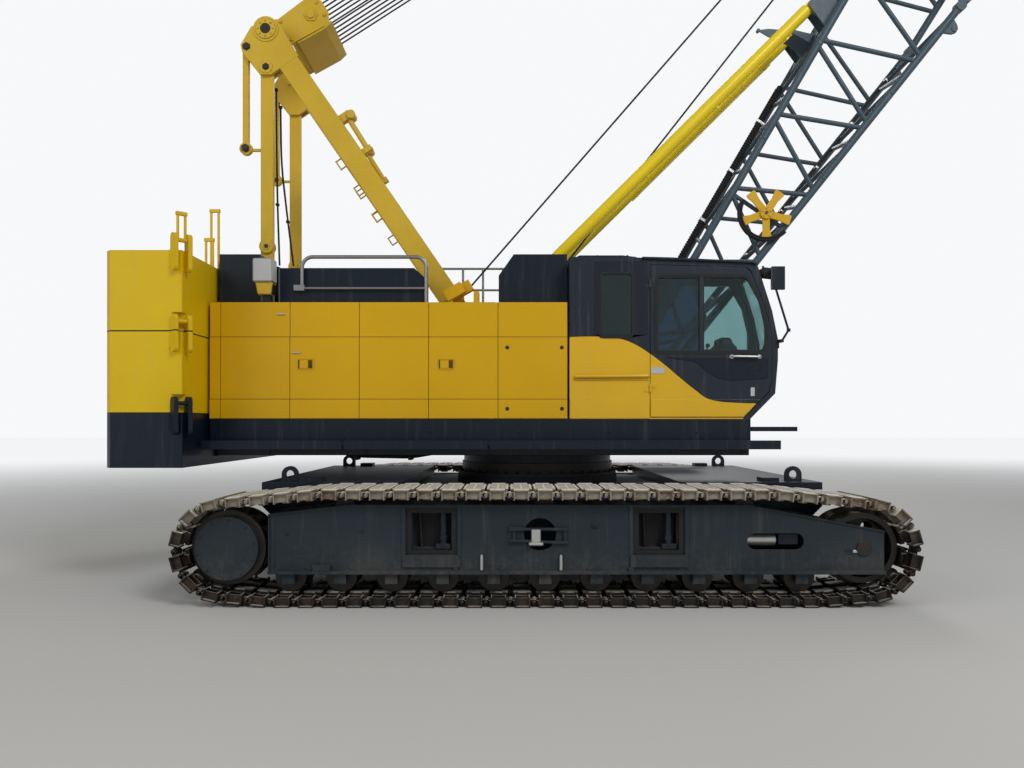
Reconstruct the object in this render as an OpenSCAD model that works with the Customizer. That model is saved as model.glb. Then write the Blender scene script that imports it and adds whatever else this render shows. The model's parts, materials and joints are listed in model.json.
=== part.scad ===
// Crawler crane with a lattice boom, its gantry and its three-part counterweight.
// Millimetres. +X is forward, +Y is the crane's left, +Z is up, and z = 0 is the ground.
// Lengths below are measured from the swing axis, which stands at swing_x.

/* [Whole crane] */
// Place of the swing axis along the crane
swing_x = -2930; // [-3200:10:-2400]
// Gap between faces that seat on each other
seat = 0.3; // [0.2:0.1:0.6]

/* [Tracks] */
// Overall length of a track
track_len = 7100; // [6800:20:7400]
// Distance between the tracks' centre lines
track_gauge = 4586; // [4500:2:4700]
// Width of a track shoe
shoe_w = 914; // [860:2:960]
// Number of shoes round a track
shoe_count = 66; // [60:1:70]
// Thickness of a shoe, from the ground to the face that the rollers run on
shoe_t = 100; // [90:1:110]
// Depth of the gap between two shoes
shoe_gap_d = 46; // [30:1:55]
// Depth of the hollow in the middle of a shoe's ground face
shoe_dish_d = 16; // [8:1:25]
// Radius of the track's outer face round the end wheels
track_end_r = 490; // [470:2:510]
// Height of the end wheels' axles
wheel_z = 535; // [525:1:550]
// Height of the top run's upper face
track_top_z = 1110; // [1090:2:1130]
// Half length of the top run's level stretch
top_flat = 2150; // [2000:10:2300]
// Half length of the stretch on the ground
ground_flat = 2600; // [2500:10:2700]

/* [Side frames] */
// Width of a side frame over its plates
frame_w = 554; // [500:2:600]
// Thickness of a side frame's plates
frame_t = 20; // [14:1:30]
// Height of the side frame's lower edge
frame_z0 = 290; // [270:2:300]
// Height of the side frame's level top
frame_z1 = 950; // [930:2:970]
// Side of a cross beam's window in the side frame
window_w = 490; // [440:5:520]
// Distance of a cross beam from the swing axis
beam_x = 1095; // [1050:5:1150]
// Radius of a bottom roller
roller_r = 150; // [140:1:156]
// Number of bottom rollers on a side
roller_count = 11; // [9:1:11]
// Radius of a carrier roller
carrier_r = 105; // [95:1:115]
// Radius of the round cover on the drive wheel
cover_r = 305; // [280:5:320]
// Radius of the end wheels' axles
axle_r = 70; // [55:1:85]

/* [Carbody] */
// Half length of the carbody's middle box
carbody_x = 1480; // [1400:10:1600]
// Half width of the carbody's middle box
carbody_y = 1560; // [1450:10:1700]
// Half length of the carbody with its weights
weight_x = 2980; // [2800:10:3100]
// Half width of the carbody weights
weight_y = 1750; // [1650:10:1780]
// Radius of the slewing ring
ring_r = 950; // [850:10:1000]
// Height of the joint between the slewing ring's halves
ring_z = 1270; // [1250:1:1290]
// Radius of the holes in the lifting lugs
lug_hole_r = 45; // [30:1:55]

/* [Revolving frame] */
// Half width of the upper works
house_y = 1500; // [1450:10:1520]
// Underside of the middle frame
deck_z0 = 1370; // [1350:1:1390]
// Underside of the side platforms
side_z0 = 1520; // [1500:2:1540]
// Top of the deck
deck_z = 1785; // [1760:1:1810]
// Rear end of the deck, where the counterweight seats
deck_x0 = -3665; // [-3800:5:-3600]
// Front end of the side platforms
deck_x1 = 2290; // [2200:10:2400]
// Half distance between the outer faces of the two long webs
web_y = 535; // [500:1:540]
// Thickness of the long webs
web_t = 30; // [20:1:40]
// Width of a walkway
walk_w = 250; // [200:10:300]

/* [Machine house] */
// Top of the yellow house
house_z = 3065; // [3000:5:3120]
// Rear end of the house doors
doors_x0 = -3510; // [-3560:5:-3480]
// Front end of the house doors
doors_x1 = 290; // [280:1:300]
// Number of doors on a side
door_count = 5; // [3:1:5]
// Thickness of a house door
door_t = 40; // [30:1:50]
// Clearance round a door
door_gap = 6; // [5:0.5:9]
// Inner wall of the right house
house_in = 760; // [740:5:800]
// Height of the rear hood's top
hood_rear_z = 3640; // [3550:10:3700]
// Height of the middle hood's top
hood_mid_z = 3485; // [3400:5:3540]

/* [Counterweight] */
// Length of the counterweight
cw_len = 790; // [740:5:840]
// Half width of the counterweight
cw_y = 2150; // [2050:10:2200]
// Underside of the lowest block
cw_z0 = 1284; // [1270:1:1300]
// Top of the lowest block
cw_z1 = 1840; // [1800:5:1880]
// Top of the middle block
cw_z2 = 2673; // [2600:5:2720]
// Top of the highest block
cw_z3 = 3494; // [3450:5:3550]

/* [Cab] */
// Front of the cab's rear module
cab_mid_x = 1180; // [1160:5:1200]
// Foremost reach of the cab
cab_front_x = 2590; // [2540:5:2640]
// Top of the cab
cab_z = 3550; // [3500:5:3580]
// Inner side of the cab
cab_in = 785; // [775:1:800]
// Thickness of the cab's walls
cab_t = 45; // [35:1:55]
// Thickness of the window glass
glass_t = 6; // [5:1:10]

/* [Gantry] */
// Place of the gantry head's pivot along the crane
head_x = -3256; // [-3300:2:-3200]
// Height of the gantry head's pivot
head_z = 6440; // [6300:5:6500]
// Place of the front legs' foot pin
leg_foot_x = -150; // [-200:5:-50]
// Height of the front legs' foot pin
leg_foot_z = 1910; // [1880:5:1960]
// Depth of a front leg
leg_d = 250; // [220:5:280]
// Thickness of a front leg from side to side
leg_t = 150; // [130:2:160]
// Middle of a gantry leg from the centre line
leg_y = 630; // [620:1:640]
// Width of a rear leg
rear_leg_w = 150; // [120:2:170]
// Height of the rear legs' upper pin
rear_pin_z = 5990; // [5900:5:6050]
// Length of the folded links that hang behind the head
link_len = 1200; // [1000:10:1300]

/* [Boom] */
// Angle of the boom over the ground as it stands
boom_angle = 55.6; // [54:0.1:57]
// Place of the boom's foot pin along the crane
foot_x = 950; // [930:1:970]
// Height of the boom's foot pin
foot_z = 1850; // [1840:1:1880]
// Length of the boom's lower section
butt_len = 6400; // [6200:10:6600]
// Length of the boom's upper section
tip_len = 8840; // [8600:10:9000]
// Half distance between the chords from side to side
chord_y = 680; // [660:1:685]
// Half depth of the boom at its foot
foot_half = 150; // [140:1:170]
// Half depth of the boom at the joint of its sections
joint_half = 625; // [600:1:650]
// Half depth of the boom at its head
tip_half = 270; // [240:1:300]
// Radius of a chord tube
chord_r = 46; // [42:1:52]
// Radius of a lacing tube
lace_r = 28; // [24:1:32]
// Radius of the foot pin
foot_pin_r = 50; // [40:1:60]
// Radius of the boom head's hoist sheaves
sheave_r = 310; // [280:5:330]

/* [Backstops] */
// Place of the backstops' lower pin along the crane
stop_x = -500; // [-520:5:-450]
// Height of the backstops' lower pin
stop_z = 3050; // [3000:5:3100]
// Station of the backstops' upper end along the boom
stop_u = 5500; // [5400:10:5600]
// Height of the backstops' upper end over the boom's middle
stop_w = 850; // [800:5:900]
// Outer radius of a backstop's tube
stop_r = 75; // [65:1:82]
// Middle of a backstop from the centre line
stop_y = 420; // [400:1:425]

/* [Rigging] */
// Radius of the boom hoist rope
reeve_r = 10; // [7:0.5:12]
// Radius of a hoist rope
rope_r = 12; // [9:0.5:14]
// Length of the boom hoist ropes between block and bridle
reeve_len = 4000; // [3600:50:4500]
// Radius of a main stay
stay_r = 20; // [15:1:25]
// Middle of a main stay from the centre line
stay_y = 800; // [790:1:830]
// Length of the hook's rope falls
fall_len = 2200; // [2000:50:2600]

/* [Winches] */
// Radius of a winch drum
drum_r = 260; // [220:5:300]
// Radius of a winch drum's flanges
flange_r = 400; // [360:5:430]
// Radius of a winch drum's shaft
shaft_r = 60; // [50:1:70]
// Running clearance of a shaft in its bore
running = 0.08; // [0.05:0.01:0.1]

/* [Hidden] */
$fn = 48;

// Colours of the finishes
yellow = [0.88, 0.67, 0.06];
gantry_yellow = [0.80, 0.65, 0.20];
navy = [0.12, 0.16, 0.21];
frame_grey = [0.19, 0.22, 0.24];
boom_grey = [0.27, 0.33, 0.35];
rust = [0.32, 0.22, 0.15];
steel = [0.35, 0.34, 0.33];
pale = [0.72, 0.72, 0.70];
dark = [0.10, 0.10, 0.11];

// Boxes, outlines and tubes
module box(x, y, z)
  translate([x[0], y[0], z[0]]) cube([x[1] - x[0], y[1] - y[0], z[1] - z[0]]);

module slab(outline, y)
  translate([0, y[1], 0]) rotate([90, 0, 0]) linear_extrude(y[1] - y[0]) polygon(outline);

module bar(p, q, r, sides = 32) {
  d = q - p;
  l = norm(d);
  translate(p) rotate([0, acos(d.z / l), atan2(d.y, d.x)]) cylinder(r = r, h = l, $fn = sides);
}

module across(x, z, y, r)
  translate([x, y[1], z]) rotate([90, 0, 0]) cylinder(r = r, h = y[1] - y[0]);

module upright(x, y, z, r)
  translate([x, y, z[0]]) cylinder(r = r, h = z[1] - z[0]);

// A stretch from half below to half above a middle, and a pair of numbers moved along
function around(middle, half) = [middle - half, middle + half];
function shift(start, pair) = [start + pair[0], start + pair[1]];

module both_sides() {
  children();
  mirror([0, 1, 0]) children();
}

// The crane's left is drawn as it stands, and its right is the mirror of it
module on_side(side) mirror([0, side < 0 ? 1 : 0, 0]) children();

module placed() translate([swing_x, 0, 0]) children();

// Track loop: the line of the shoes' pins runs forward on the ground, round the
// front wheel, back along the top and round the rear wheel.
pin_d = 60;
pin_r = track_end_r - pin_d;
wheel_x = track_len / 2 - track_end_r;
track_y = track_gauge / 2;
ground_ramp = [wheel_x - ground_flat, wheel_z - pin_d];
top_ramp = [wheel_x - top_flat, track_top_z - pin_d - wheel_z];
ground_ramp_l = sqrt(pow(norm(ground_ramp), 2) - pow(pin_r, 2));
top_ramp_l = sqrt(pow(norm(top_ramp), 2) - pow(pin_r, 2));
ground_ramp_a = atan2(ground_ramp.y, ground_ramp.x) - asin(pin_r / norm(ground_ramp));
top_ramp_a = atan2(top_ramp.y, top_ramp.x) - asin(pin_r / norm(top_ramp));
end_arc_l = pin_r * (180 - ground_ramp_a - top_ramp_a) * PI / 180;

function rim(x, a) = [x + pin_r * sin(a), wheel_z - pin_r * cos(a)];

// Each stretch of the loop: [start, heading, length, radius], where radius 0 is straight
loop = [
  [[-ground_flat, pin_d], 0, 2 * ground_flat, 0],
  [[ground_flat, pin_d], ground_ramp_a, ground_ramp_l, 0],
  [rim(wheel_x, ground_ramp_a), ground_ramp_a, end_arc_l, pin_r],
  [rim(wheel_x, 180 - top_ramp_a), 180 - top_ramp_a, top_ramp_l, 0],
  [[top_flat, track_top_z - pin_d], 180, 2 * top_flat, 0],
  [[-top_flat, track_top_z - pin_d], 180 + top_ramp_a, top_ramp_l, 0],
  [rim(-wheel_x, 180 + top_ramp_a), 180 + top_ramp_a, end_arc_l, pin_r],
  [rim(-wheel_x, -ground_ramp_a), -ground_ramp_a, ground_ramp_l, 0]
];
loop_l = 2 * (ground_flat + top_flat + ground_ramp_l + top_ramp_l + end_arc_l);
shoe_pitch = loop_l / shoe_count;

function turned(stretch, s) =
  stretch[3] == 0 ? stretch[1] : stretch[1] + s / stretch[3] * 180 / PI;

function place_in(stretch, s) = let (a = turned(stretch, s))
  stretch[3] == 0
    ? concat(stretch[0] + s * [cos(a), sin(a)], a)
    : concat(stretch[0] + stretch[3] * [sin(a) - sin(stretch[1]), cos(stretch[1]) - cos(a)], a);

function on_loop(s, k = 0) =
  s <= loop[k][2] || k == len(loop) - 1 ? place_in(loop[k], s) : on_loop(s - loop[k][2], k + 1);

// A point beside the loop: forward along the shoe and out from its pin line
function beside(place, along, out) =
  [place[0] + along * cos(place[2]) + out * sin(place[2]),
   place[1] + along * sin(place[2]) - out * cos(place[2])];

// A shoe's ground side: [share of the pitch, depth under the ground face]
shoe_outline = [
  [-0.45, shoe_gap_d], [-0.42, 0], [-0.16, 0], [-0.12, shoe_dish_d],
  [0.12, shoe_dish_d], [0.16, 0], [0.42, 0], [0.45, shoe_gap_d]
];

module track(side) color(rust) on_side(side) {
  places = [for (i = [0:shoe_count - 1]) on_loop((i + 0.5) * shoe_pitch)];
  outer = [for (p = places) for (c = shoe_outline) beside(p, c[0] * shoe_pitch, pin_d - c[1])];
  inner = [for (p = places) beside(p, 0, pin_d - shoe_t)];
  translate([0, track_y + shoe_w / 2, 0]) rotate([90, 0, 0]) linear_extrude(shoe_w)
    polygon(concat(outer, inner),
      [[for (i = [0:len(outer) - 1]) i], [for (i = [0:len(inner) - 1]) len(outer) + i]]);
}

// Radius that clears the flats of the shoes' inner faces
wheel_r = (track_end_r - shoe_t) * cos(180 / PI * shoe_pitch / pin_r / 2) - 2;

// Side frame
frame_y = [track_y - frame_w / 2, track_y + frame_w / 2];
frame_in = [frame_y[0] + frame_t, frame_y[1] - frame_t];
frame_x0 = 400 - wheel_x;
frame_x1 = wheel_x + 200;
// Rear end of the gear housing, and the bevels' ends on the frame's roof
housing_x = 110 - wheel_x;
roof_x = [1170 - wheel_x, wheel_x - 1120];
// Slot in the outer plate for the chain adjuster
slot_x = [wheel_x - 1040, wheel_x - 650];
roller_z = shoe_t + roller_r;
roller_span = 2 * ground_flat - 260;
roller_xs = [for (i = [0:roller_count - 1]) -roller_span / 2 + i * roller_span / (roller_count - 1)];
carrier_z = track_top_z - shoe_t - carrier_r;
carrier_xs = [1110 - wheel_x, 0, wheel_x - 1110];

function frame_outline(inset) = [
  [frame_x0 + inset, frame_z0 - (inset > 0 ? 50 : 0)],
  [frame_x1 - inset, frame_z0 - (inset > 0 ? 50 : 0)],
  [frame_x1 - inset, 700 - inset],
  [roof_x[1], frame_z1 - inset],
  [roof_x[0], frame_z1 - inset],
  [frame_x0 + inset, 860 - inset]
];

module side_frame(side) color(frame_grey) on_side(side) {
  difference() {
    slab(frame_outline(0), frame_y);
    slab(frame_outline(frame_t), frame_in);
    for (s = [-1, 1]) {
      box(around(s * beam_x, window_w / 2), [frame_in[1] - 1, frame_y[1] + 1], [470, 920]);
      box(around(s * beam_x, beam_w / 2 + seat), shift(frame_y[0], [-1, frame_t + 1]),
        [beam_z[0] - seat, beam_z[1] + seat]);
    }
    across(wheel_x, wheel_z, frame_in, wheel_r + 20);
    across(-50, 670, [frame_in[1] - 1, frame_y[1] + 1], 155);
    for (x = slot_x) across(x, 600, [frame_in[1] - 1, frame_y[1] + 1], 78);
    box(slot_x, [frame_in[1] - 1, frame_y[1] + 1], [522, 678]);
    for (x = carrier_xs) box(around(x, 150), frame_in, [carrier_z - 150, 1000]);
    for (y = [frame_y[0], frame_in[1]])
      across(wheel_x, wheel_z, [y - 1, y + frame_t + 1], axle_r + running);
  }
  // Foot flanges and the pads that carry the bottom rollers
  for (y = [[frame_y[0] - 45, frame_y[0]], [frame_y[1], frame_y[1] + 45]])
    box([frame_x0, frame_x1], y, shift(frame_z0, [0, 30]));
  for (x = roller_xs, y = [frame_y[0], frame_in[1]])
    box(around(x, 60), [y, y + frame_t], [roller_z - 60, frame_z0]);
  // Gear housing for the drive wheel, on the inner plate
  slab([[frame_x0, 330], [housing_x, 330], [-wheel_x - 120, 420], [-wheel_x - 120, 650],
        [housing_x, 760], [frame_x0, 760]], [frame_y[0] + frame_t, frame_y[0] + 70]);
  across(-wheel_x, wheel_z, [frame_y[0] - 120, frame_y[0] + 70], 210);
  // Sills under the windows
  for (s = [-1, 1])
    box(around(s * beam_x, window_w / 2 + 25), [frame_y[1], frame_y[1] + 18], [445, 470]);
}

// Drive wheel: a toothed ring between two rims, with a round cover outside
tooth_count = 15;
module drive_wheel(side) color(steel) on_side(side) {
  y = [frame_y[0] + 90, frame_y[1] - 30];
  tooth_a = 360 / tooth_count;
  translate([-wheel_x, y[1] - 130, wheel_z]) rotate([90, 0, 0]) linear_extrude(150)
    polygon([for (i = [0:tooth_count - 1]) for (c = [[-0.38, 0], [-0.2, 1], [0.2, 1], [0.38, 0]])
      (wheel_r - 45 * (1 - c[1])) * [cos((i + c[0]) * tooth_a), sin((i + c[0]) * tooth_a)]]);
  across(-wheel_x, wheel_z, [y[0], y[1] - 20], wheel_r - 70);
  for (t = [y[0], y[1] - 70]) across(-wheel_x, wheel_z, [t, t + 50], wheel_r - 15);
  across(-wheel_x, wheel_z, [y[1] - 21, frame_y[1] + 25], cover_r);
  across(-wheel_x, wheel_z, [frame_y[0] + 70, y[0]], 160);
}

// Front wheel with a hub, six round holes and a grooved rim
module idler(side) color(steel) on_side(side) {
  y = frame_in + [12, -12];
  mid = (y[0] + y[1]) / 2;
  difference() {
    union() {
      across(wheel_x, wheel_z, y, wheel_r - 35);
      across(wheel_x, wheel_z, around(mid, 70), wheel_r);
    }
    for (t = [[y[0] - 1, mid - 90], [mid + 90, y[1] + 1]])
      difference() {
        across(wheel_x, wheel_z, t, wheel_r - 90);
        across(wheel_x, wheel_z, t + [-1, 1], axle_r + 60);
      }
    for (i = [0:5])
      across(wheel_x + 210 * cos(60 * i), wheel_z + 210 * sin(60 * i), y, 55);
  }
  across(wheel_x, wheel_z, frame_y + [-20, 20], axle_r);
}

module rollers(side) color(steel) on_side(side) {
  mid = track_y;
  for (x = roller_xs) {
    across(x, roller_z, frame_in, 45);
    for (s = [-1, 1]) across(x, roller_z, around(mid + s * 130, 60), roller_r);
    across(x, roller_z, around(mid, 80), roller_r - 45);
  }
  for (x = carrier_xs) {
    across(x, carrier_z, frame_in, 35);
    across(x, carrier_z, around(mid, 140), carrier_r);
  }
}

// Carbody: a middle box with four bevelled corners, cross beams and a ring seat
carbody_z = [560, 1000];
beam_w = 420;
beam_z = [500, 890];
module carbody() color(frame_grey) {
  difference() {
    translate([0, 0, carbody_z[0]]) linear_extrude(carbody_z[1] - carbody_z[0])
      polygon([for (c = [[1, 0.72], [0.72, 1], [-0.72, 1], [-1, 0.72],
                         [-1, -0.72], [-0.72, -1], [0.72, -1], [1, -0.72]])
        [c[0] * carbody_x, c[1] * carbody_y]]);
    upright(0, 0, [carbody_z[0] - 1, carbody_z[1] + 1], ring_r - 250);
  }
  for (s = [-1, 1])
    difference() {
      box(around(s * beam_x, beam_w / 2), [-1, 1] * (frame_in[1] - 60), beam_z);
      box(around(s * beam_x, beam_w / 2 - 25), [-1, 1] * frame_in[1], beam_z + [25, -25]);
    }
  difference() {
    upright(0, 0, [carbody_z[1], 1110], ring_r + 60);
    upright(0, 0, [carbody_z[1] - 1, 1111], ring_r - 170);
  }
}

module lug(x, y, z, t = 40) {
  difference() {
    union() {
      across(x, z, around(y, t / 2), lug_hole_r + 45);
      box(around(x, lug_hole_r + 45), around(y, t / 2), [z - 130, z]);
    }
    across(x, z, around(y, t / 2 + 1), lug_hole_r);
  }
}

weight_z = [740, 1110];
module carbody_weight(end) color(navy) mirror([end < 0 ? 1 : 0, 0, 0]) {
  slab([[carbody_x, weight_z[0]], [weight_x - 120, weight_z[0]], [weight_x, weight_z[0] + 120],
        [weight_x, weight_z[1]], [carbody_x, weight_z[1]]], [-weight_y, weight_y]);
  both_sides() {
    lug(weight_x - 260, weight_y - 160, weight_z[1] + 75);
    box([weight_x - 620, weight_x - 440], shift(weight_y, [-260, -60]), shift(weight_z[1], [0, 45]));
  }
}

module swing_ring() color(steel)
  difference() {
    union() {
      upright(0, 0, [1110, ring_z], ring_r);
      upright(0, 0, [1110, 1150], ring_r + 50);
    }
    upright(0, 0, [1109, ring_z + 1], ring_r - 130);
  }

// Revolving frame: the upper ring, two long webs, cross plates and the seat under them
seat_z = deck_z0 + 40;
module deck() color(navy) {
  difference() {
    union() {
      upright(0, 0, [ring_z + seat, deck_z0], ring_r - 20);
      box([-1500, 1350], [-1, 1] * (ring_r + 10), [deck_z0, seat_z]);
    }
    upright(0, 0, [ring_z, seat_z + 1], ring_r - 170);
  }
  both_sides() box([deck_x0, foot_x - 210], [web_y - web_t, web_y], [seat_z, deck_z]);
  box([deck_x0, deck_x0 + 40], [-1, 1] * 1200, [deck_z0, deck_z]);
  for (x = [-2900, -1800, -700, foot_x - 240])
    box([x, x + 30], [-1, 1] * web_y, [seat_z, deck_z - 60]);
  box([deck_x0, foot_x - 210], [-1, 1] * (web_y - web_t), [deck_z - 60, deck_z - 45]);
  // Ears that hold the boom's foot
  both_sides() for (y = [foot_in - 36, foot_out + 6])
    slab([[foot_x - 240, seat_z], [foot_x + 160, seat_z], [foot_x + 130, foot_z + 60],
          [foot_x + 60, foot_z + 130], [foot_x - 60, foot_z + 130], [foot_x - 240, deck_z]],
      [y, y + 30]);
  both_sides() box([foot_x - 240, foot_x - 210], [web_y - web_t, foot_out + 36], [seat_z, deck_z - 60]);
  both_sides() box([foot_x - 240, foot_x + 160], [foot_in - 36, foot_out + 36], [seat_z - 40, seat_z]);
  both_sides() across(foot_x, foot_z, [foot_in - 60, foot_out + 60], foot_pin_r - running);
}
foot_in = chord_y - 30;
foot_out = chord_y + 30;

// Side platform: a tray open below with cross ribs, and the walkway along it
side_x0 = deck_x0 + 40 + seat;
module platform(side) color(navy) on_side(side) {
  difference() {
    box([side_x0, deck_x1], [cab_in, house_y], [side_z0, deck_z]);
    for (i = [0:5])
      box(shift(side_x0 + 40 + i * 980, [0, 940]), [cab_in + 25, house_y - 25], [side_z0 - 1, deck_z - 25]);
  }
  box([side_x0, foot_x - 330], [web_y, cab_in], [deck_z - 25, deck_z]);
  for (x = [-3000, -1000, 400]) box([x, x + 40], [web_y, cab_in], [side_z0, deck_z - 25]);
  if (side < 0) box([deck_x1, deck_x1 + 520], shift(house_y, [-70, -20]), [1650, 1700]);
  // Walkway
  box([side_x0, deck_x1 + 250], [house_y, house_y + walk_w - 11], [1500, 1530]);
  for (x = [[side_x0, -2135], [-2110, -580], [-555, deck_x1 + 250]])
    box(x, shift(house_y + walk_w, [-12, 0]), [1460, 1555]);
  for (x = [-3000, -1500, 0, 1500])
    box([x, x + 30], [house_y, house_y + walk_w - 12], [1460, 1500]);
}

// Winch frame: two plates over the webs that carry the drums and the gantry's feet
drum_y = [-1, 1] * (web_y - web_t - 12);
drums = [[-430, 2330], [-1480, 2330], [-2500, 2300]];
module winch_frame() color(frame_grey) {
  difference() {
    both_sides() slab([[-2950, deck_z], [150, deck_z], [150, 2050], [-80, 2560], [-250, stop_z + 90],
        [-620, stop_z + 90], [-700, 2700], [-2700, 2700], [-2950, 2450]], [web_y - web_t, web_y]);
    for (d = drums) across(d[0], d[1], [-1, 1] * (web_y + 1), shaft_r + running);
  }
  both_sides() across(stop_x, stop_z, [stop_y - 45, web_y], stop_pin_r);
  // Pins for the feet of the gantry's front legs
  both_sides() across(leg_foot_x, leg_foot_z, [web_y - web_t, leg_y + leg_t / 2 + 20], leg_pin_r);
  for (x = [-1000, -2020]) box([x, x + 40], [-1, 1] * (web_y - web_t / 2), [deck_z, 2250]);
}

module drum(x, z) color(steel) {
  across(x, z, [-1, 1] * (web_y + 10), shaft_r);
  across(x, z, drum_y, drum_r);
  for (s = [-1, 1]) across(x, z, around(s * (drum_y[1] - 15), 15), flange_r);
}

// Outer panels of the right house: each fold steps out, with a sloping ledge
fold_d = 9;
fold_zs = [2003, 2684];
module panel(x, back, inset)
  translate([x[0], 0, 0]) rotate([90, 0, 90]) linear_extrude(x[1] - x[0])
    polygon([[house_y - door_t + back, deck_z + door_gap + (inset > 0 ? 30 : 0)],
      [house_y - inset, deck_z + door_gap + (inset > 0 ? 30 : 0)],
      [house_y - inset, fold_zs[0] - fold_d / 2], [house_y - inset - fold_d, fold_zs[0] + fold_d / 2],
      [house_y - inset - fold_d, fold_zs[1] - fold_d / 2],
      [house_y - inset - 2 * fold_d, fold_zs[1] + fold_d / 2],
      [house_y - inset - 2 * fold_d, house_z - (inset > 0 ? 30 : 0)],
      [house_y - door_t + back, house_z - (inset > 0 ? 30 : 0)]]);

// Machine houses
house_x = [-3630, doors_x1];
rest_y = 900;
module house(side) color(yellow) on_side(side) {
  y_skin = side < 0 ? house_y - door_t : house_y;
  difference() {
    box(house_x, [house_in, y_skin], [deck_z, house_z]);
    box(house_x + [25, -25], [house_in + 20, y_skin - 20], [deck_z - 1, house_z - 25]);
    if (side < 0)
      for (i = [0:door_count - 1])
        box(shift(door_xs[i], [40, door_w - 40]), [y_skin - 21, y_skin + 1], [deck_z + 60, house_z - 60]);
  }
  if (side < 0) {
    panel([house_x[0], doors_x0 - door_gap], -1, 0);
    // Rope rests on the roof: two sloping boxes on a base
    box([-1140, -520], [rest_y - 140, rest_y + 260], [house_z, house_z + 50]);
    for (i = [0, 1]) translate([-1080, rest_y + 150 * i, house_z + 120]) rotate([0, -30, 0])
      box([0, 330 - 100 * i], around(0, 55), [-60, 70]);
    for (x = [-1060, -760]) box([x, x + 60], [rest_y - 30, rest_y + 180], [house_z + 49, house_z + 190]);
  }
}

door_w = (doors_x1 - doors_x0) / door_count;
door_xs = [for (i = [0:door_count - 1]) doors_x0 + i * door_w];
module house_door(i) color(yellow) on_side(-1)
  difference() {
    panel(shift(door_xs[i], [0, door_w - door_gap]), seat, 0);
    panel(shift(door_xs[i], [30, door_w - door_gap - 30]), -1, 6);
  }

// Hoods: the rear one stands on both houses' tops and reaches down between them
hood_y = 1250;
hood_t = 25;
hood_rear_x = [-3610, -3150];
hood_mid_x = [-2930, -1310];
hood_front_x = [-470, 300];
module hood_rear() color(navy) {
  difference() {
    union() {
      box(hood_rear_x, [-hood_y, hood_y], [house_z, hood_rear_z]);
      box(hood_rear_x, [-house_in, house_in], [deck_z, house_z]);
    }
    box(hood_rear_x + [hood_t, -hood_t], [-house_in + hood_t, house_in - hood_t],
      [deck_z - 1, hood_rear_z - hood_t]);
    both_sides() box(hood_rear_x + [hood_t, -hood_t], [house_in + hood_t, hood_y - hood_t],
      [house_z - 1, hood_rear_z - hood_t]);
    both_sides() box(around(head_x, 110), around(leg_y, 90), [deck_z - 1, hood_rear_z + 1]);
  }
  // Sensor box on a post in front of it
  box([-3168, -2960], [-1460, -1285], [3300, 3550]);
  box([-3120, -2960], [-1430, -1300], [3165, 3300]);
  box([-3080, -2990], [-1400, -1320], [house_z, 3165]);
  box([hood_rear_x[1] - 20, -3090], [-1360, -1240], [3350, 3390]);
}

// Hood beside the handrail, with its front corner bevelled
module hood_middle() color(navy)
  difference() {
    slab([[hood_mid_x[0], house_z], [hood_mid_x[1], house_z], [hood_mid_x[1], hood_mid_z - 100],
          [hood_mid_x[1] - 110, hood_mid_z], [hood_mid_x[0], hood_mid_z]], [-hood_y, -house_in]);
    slab([[hood_mid_x[0] + hood_t, house_z - 1], [hood_mid_x[1] - hood_t, house_z - 1],
          [hood_mid_x[1] - hood_t, hood_mid_z - 110], [hood_mid_x[1] - 120, hood_mid_z - hood_t],
          [hood_mid_x[0] + hood_t, hood_mid_z - hood_t]], [hood_t - hood_y, -house_in - hood_t]);
  }

// Hood behind the cab
module hood_front() color(navy)
  difference() {
    slab([[hood_front_x[0], house_z], [hood_front_x[1], house_z], [hood_front_x[1], hood_rear_z],
          [hood_front_x[0] + 170, hood_rear_z], [hood_front_x[0], hood_rear_z - 240]],
      [-hood_y, -house_in]);
    box(hood_front_x + [hood_t, -hood_t], [hood_t - hood_y, -house_in - hood_t],
      [house_z - 1, hood_rear_z - 260]);
  }

module engine_block() color(steel)
  box([house_x[0] + 330, door_xs[2]], [house_in + 60, house_y - 120], [deck_z, house_z - 215]);

// Counterweight blocks: their front corners carry ear plates that hold the block above
cw_x = [deck_x0 - cw_len, deck_x0];
ear_t = 45;
// Turns x outwards along a front corner's diagonal
module at_corner(side) on_side(side) translate([cw_x[1], cw_y, 0]) rotate(45) children();
module ears(z) for (side = [-1, 1]) at_corner(side) {
  for (y = [-95, 95 - ear_t]) {
    box([-150, 35], [y, y + ear_t], [z - 170, z]);
    box([-60, 35], [y, y + ear_t], [z - seat, z + 120]);
    translate([-12, 0, z + 120]) across(0, 0, [y, y + ear_t], 48);
    translate([-12, 0, z - 170]) across(0, 0, [y, y + ear_t], 48);
  }
  across(-12, z + 100, [-94, 94], 22);
}
module counterweight(z, hue, seated) color(hue) {
  difference() {
    translate([0, 0, z[0]]) linear_extrude(z[1] - z[0])
      polygon([[cw_x[1], -cw_y + 8], [cw_x[1], cw_y - 8], [cw_x[1] - 8, cw_y],
               [cw_x[0] + 60, cw_y], [cw_x[0], cw_y - 60], [cw_x[0], -cw_y + 60],
               [cw_x[0] + 60, -cw_y], [cw_x[1] - 8, -cw_y]]);
    // Room for the ears of the block below
    if (seated) for (side = [-1, 1]) at_corner(side)
      box([-75, 60], [-160, 160], [z[0] - 1, z[0] + 190]);
  }
  ears(z[1]);
}
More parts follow.
